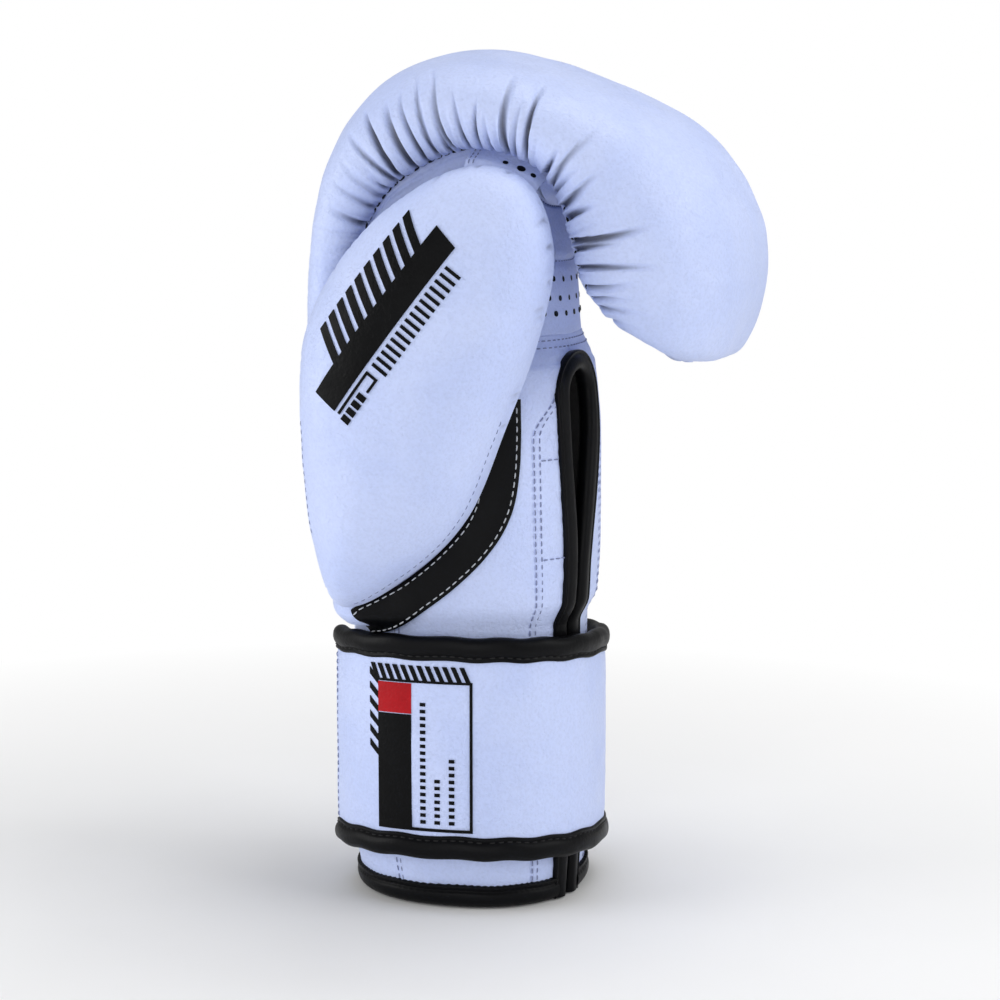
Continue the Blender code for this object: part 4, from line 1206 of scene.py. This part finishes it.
STRAP_PARTS = (                 # name, start and end angles, two bodies, the hinge between them, nodes
    ("palm", STRAP_START, -12.5, "hand", "strap_palm", STRAP_HINGES[0],
     ("strap_anchor", "strap_link_palm")),
    ("thumb", -12.5, -72.5, "strap_palm", "strap_thumb", STRAP_HINGES[1], ("strap_link_thumb",)),
    ("end", -72.5, STRAP_END, "strap_thumb", "strap_end", STRAP_HINGES[2], ("strap_link_end",)),
)
BINDING_PROFILE = (             # lift over the strap's outer face, height from the strap's edge
    (-3.3, 8.1), (0.25, 8.2), (0.85, 7.5), (0.50, 6.6), (1.25, 5.7), (1.75, 3.8), (1.45, 1.6),
    (0.3, 0.2), (-1.3, -0.2), (-2.9, 0.3), (-3.7, 2.0), (-3.8, 4.6),
)


def swept(angles, lift, height):
    """Rings of a profile swept round the strap."""
    return np.array([strap_point(np.full(len(lift), a), height, lift) for a in angles])


def rounded_end(rings, count=5):
    """Draws the last rings in, so that a swept piece ends in a soft edge."""
    drawn = 1 - 0.45 * (np.arange(1, count + 1) / count) ** 2
    middle = rings[-count:].mean(axis=1, keepdims=True)
    ends = middle + (rings[-count:] - middle) * drawn[:, None, None]
    return np.concatenate([rings[:-count], ends])


def strap_row(degrees, height, lift):
    """A row of points on the strap and the directions out from them."""
    path = strap_point(degrees, height, lift)
    return path, unit(path * (1, 1, 0))


def strap_leather(name, angles, bend, nodes):
    """A part of the strap between its two bindings, slightly crowned and uneven."""
    low, high = STRAP_LOW + STRAP_BINDING, STRAP_HIGH - STRAP_BINDING
    face, under = np.linspace(0, 1, 44), 0.6
    crown = 0.55 * (1 - (2 * face - 1) ** 6)
    height = np.concatenate([low - under + (high - low + 2 * under) * face,
                             [high + under, low - under]])
    lift = np.concatenate([crown - 0.1, [-STRAP_THICK, -STRAP_THICK]])
    rings = swept(angles, lift, height)
    ripple = 0.22 * rough(rings, 19, 3.0) + 0.1 * rough(rings, 6, 1.0)
    ripple[:, -2:] = 0
    rings = rings + unit(rings * (1, 1, 0)) * ripple[..., None]
    loft(f"strap_{name}_leather", rings, LEATHER_WHITE, bend, nodes)


def strap_edge(name, side, angles, bend, nodes):
    """A length of the strap's lower or upper binding, with its row of stitches."""
    edge, sign, phase = (STRAP_LOW, 1, 1) if side == "lower" else (STRAP_HIGH, -1, 2)
    ring = smooth_ring(BINDING_PROFILE, 60)
    wave = 0.25 * np.sin(np.radians(angles) * 17 + phase)
    rings = np.array([strap_point(np.full(len(ring), a), edge + sign * ring[:, 1] + w, ring[:, 0])
                      for a, w in zip(angles, wave)])
    rings = rings[:, ::sign]
    if name == "end":
        rings = rounded_end(rings)
    loft(f"strap_{name}_{side}_edge", rings, LEATHER_BLACK, bend,
         [f"{node}_{side}_binding" for node in nodes])
    row = strap_row(angles, edge + sign * 6.6 + wave, 0.45)
    thread(f"strap_{name}_{side}_thread", [row], THREAD_BLACK, bend, pitch=3.0,
           length=2.2, radius=0.3)


def build_strap():
    """The strap in three parts, each with its leather and its two bound edges."""
    for name, start, end, first, second, hinge, nodes in STRAP_PARTS:
        bend = strap_bend(first, second, hinge)
        count = int(abs(end - start) / 0.8) + 2
        strap_leather(name, np.linspace(start, end, count), bend, nodes)
        overrun = 1.2 if name == "end" else 0.0
        for side in ("lower", "upper"):
            strap_edge(name, side, np.linspace(start, end - overrun, count + 4), bend, nodes)


def strap_threads():
    """Rows of stitches across the strap's free end and its sewn end."""
    height = np.linspace(STRAP_LOW + STRAP_BINDING + 1, STRAP_HIGH - STRAP_BINDING - 1, 80)
    rows = [strap_row(np.full(80, degrees), height, 0.5)
            for degrees in (STRAP_END + 3.6, STRAP_START - 4, STRAP_START - 30)]
    thread("strap_end_row_thread", rows[:1], THREAD_GREY, "strap_end", pitch=2.6,
           length=1.8, radius=0.24)
    thread("strap_anchor_thread", rows[1:], THREAD_GREY, "hand", pitch=2.8,
           length=2.0, radius=0.26)


def strap_patch(name, start, end, inner, outer, material, body, node):
    """A patch under the strap or on the cuff, with soft edges; inner and outer are stand-offs."""
    low, high = STRAP_LOW + STRAP_BINDING + 3, STRAP_HIGH - STRAP_BINDING - 3
    face = np.linspace(0, 1, 40)
    soft = (outer - inner) * 0.4 * (2 * face - 1) ** 12
    height = np.concatenate([low + (high - low) * face, (low + (high - low) * face)[::-1]])
    lift = np.concatenate([outer - soft, inner + 0 * soft]) - STRAP_OUTER
    angles = np.linspace(max(start, end), min(start, end), int(abs(end - start)) + 2)
    loft(name, swept(angles, lift, height), material, body, (node,))


def build_patches():
    strap_patch("loop_patch_pile", PATCH_START, PATCH_END, 0.2, 1.9, LOOPS, "hand",
                "loop_patch")
    strap_patch("hook_patch_bed", PATCH_START - 1, HOOK_END, 2.15, 3.7, HOOKS, "strap_end",
                "hook_patch")
    strap_patch("strap_base_leather", STRAP_START - 1, STRAP_HINGES[0] + 12, 0.2, 3.7, LEATHER_WHITE,
                "hand", "strap_base_patch")


def label_patches():
    """Outlines on the strap as (distance along the strap towards the palm, height) from the label's
    lower corner nearest the free end, with their inks. Bars, a frame and stripes, and no lettering."""
    wide, tall, bar, line = 34.0, 57.3, 12.8, 51.4
    black = [((0, 0), (bar, 0), (bar, 40.3), (0, 40.3))]
    black += [((bar, 0), (wide, 0), (wide, 1.0), (bar, 1.0)),
              ((wide - 1.0, 1.0), (wide, 1.0), (wide, line), (wide - 1.0, line)),
              ((0, line), (wide, line), (wide, line + 0.8), (0, line + 0.8))]
    for k in range(12):
        u = -2.6 + 2.98 * k
        black.append(((u + 2.0, line), (u + 3.6, line), (u + 1.0, tall), (u - 0.6, tall)))
    for k in range(6):
        v = 25 + 5.0 * k
        black.append(((-3.6, v + 3.4), (0.05, v), (0.05, v + 2.3), (-3.6, v + 5.7)))
    for k, long in enumerate((44, 19, 25)):
        u = bar + 3.1 + 5.0 * k
        for j in range(int(long / 2.4)):
            v = 2.6 + 2.4 * j
            black.append(((u, v), (u + 1.9, v), (u + 1.9, v + 1.2), (u, v + 1.2)))
    red = [((0.1, 40.6), (bar, 40.6), (bar, line - 0.3), (0.1, line - 0.3))]
    return black, red


LABEL_ANGLE, LABEL_HEIGHT = -113.0, STRAP_LOW + 9.6


def build_label():
    """The generic label printed on the strap's free end."""
    angles = np.linspace(LABEL_ANGLE - 15, LABEL_ANGLE + 75, 400)
    walked = lengths(strap_point(angles, np.full(400, 60.0)))
    walked = walked - np.interp(LABEL_ANGLE, angles, walked)
    bend = strap_bend(*STRAP_PARTS[2][3:6])
    black, red = label_patches()
    for name, patches, ink, slot in (("black", black, PRINT_BLACK, "leather_black"),
                                     ("red", red, PRINT_RED, "leather_white")):
        flat, faces = patch_grid(patches, (1.2, 1.5))
        degrees = np.interp(flat[:, 0], walked, angles)
        points = strap_point(degrees, LABEL_HEIGHT + flat[:, 1], 0.72)
        obj = new_object(f"strap_label_{name}", points, faces)
        thicken(obj, 0.5)
        dress(obj, ink, bend)


# Floor, light and camera ----------------------------------------------------------------------------

def build_world():
    """White all round for the camera, and a dimmer light from everywhere."""
    world = bpy.data.worlds.new("studio")
    world.use_nodes = True
    nodes, links = world.node_tree.nodes, world.node_tree.links
    light, seen = nodes["Background"], nodes.new("ShaderNodeBackground")
    light.inputs["Strength"].default_value = 0.38
    for background in (light, seen):
        background.inputs["Color"].default_value = (1, 1, 1, 1)
    path, mix = nodes.new("ShaderNodeLightPath"), nodes.new("ShaderNodeMixShader")
    links.new(path.outputs["Is Camera Ray"], mix.inputs[0])
    links.new(light.outputs[0], mix.inputs[1])
    links.new(seen.outputs[0], mix.inputs[2])
    links.new(mix.outputs[0], nodes["World Output"].inputs["Surface"])
    bpy.context.scene.world = world


def build_floor():
    """A pale floor that fades to white away from the glove."""
    mesh = bpy.data.meshes.new("floor")
    side, low = 12.0, -0.0004
    mesh.from_pydata([(-side, -side, low), (side, -side, low), (side, side, low), (-side, side, low)],
                     [], [(0, 1, 2, 3)])
    floor = bpy.data.objects.new("floor", mesh)
    bpy.context.scene.collection.objects.link(floor)
    shader = Shader("floor_paint", 0.95)
    distance = shader.add("ShaderNodeVectorMath", {0: shader.place}, operation="LENGTH")
    far = shader.span(distance.outputs["Value"], 0.12, 0.42)
    seen = shader.add("ShaderNodeLightPath").outputs["Is Camera Ray"]
    glow = shader.add("ShaderNodeEmission", {"Color": (1, 1, 1, 1), "Strength": 1.0})
    mix = shader.add("ShaderNodeMixShader", {0: shader.math("MULTIPLY", far, seen)})
    shader.colour(shader.mix(shader.noise(60), (0.93, 0.93, 0.93, 1), (0.9, 0.9, 0.9, 1)))
    output = shader.tree.nodes["Material Output"]
    shader.tree.links.new(shader.surface.outputs[0], mix.inputs[1])
    shader.tree.links.new(glow.outputs[0], mix.inputs[2])
    shader.tree.links.new(mix.outputs[0], output.inputs["Surface"])
    mesh.materials.append(shader.material)


TARGET = Vector((CENTRE + (10.5, 0, 136.8)) * MM)    # the camera and the lamps look here
LAMPS = (                       # name, place from the target in m, side in m, power in W
    ("top", (0.25, 0.15, 1.1), 0.7, 5.0), ("left", (-1.1, -0.5, 0.25), 0.8, 6.5),
    ("right", (1.1, -0.1, 0.5), 0.8, 5.5), ("front", (0.1, -1.3, 0.15), 0.9, 4.6),
)
CAMERA_TURN, CAMERA_RISE, CAMERA_DISTANCE = math.radians(15), math.radians(8), 0.83


def build_lamps():
    """Soft square lamps round the glove."""
    for name, place, side, power in LAMPS:
        lamp = bpy.data.lights.new(name, "AREA")
        lamp.size = side
        lamp.energy = power
        holder = bpy.data.objects.new(name, lamp)
        holder.location = TARGET + Vector(place)
        holder.rotation_euler = (-Vector(place)).to_track_quat("-Z", "Y").to_euler()
        bpy.context.scene.collection.objects.link(holder)


def build_camera():
    """The camera, a little towards the palm and above."""
    out = Vector((math.sin(CAMERA_TURN) * math.cos(CAMERA_RISE),
                  -math.cos(CAMERA_TURN) * math.cos(CAMERA_RISE), math.sin(CAMERA_RISE)))
    camera_data = bpy.data.cameras.new("camera")
    camera_data.lens = 85
    camera = bpy.data.objects.new("camera", camera_data)
    camera.location = TARGET + out * CAMERA_DISTANCE
    camera.rotation_euler = (-out).to_track_quat("-Z", "Y").to_euler()
    bpy.context.scene.collection.objects.link(camera)
    bpy.context.scene.camera = camera


build_roll()
seam_threads()
finger_inside()
build_wrist()
build_palm()
palm_threads()
facing_threads()
cuff_threads()
perforations()
build_hem()
build_slit()
build_slit_cloth()
build_lining()
build_grip_bar()
build_trim()
THUMB_DOME = build_thumb()
build_print(THUMB_DOME)
build_lock()
build_strap()
strap_threads()
build_patches()
build_label()
build_floor()
build_world()
build_lamps()
build_camera()
bpy.context.scene.view_settings.view_transform = "Standard"
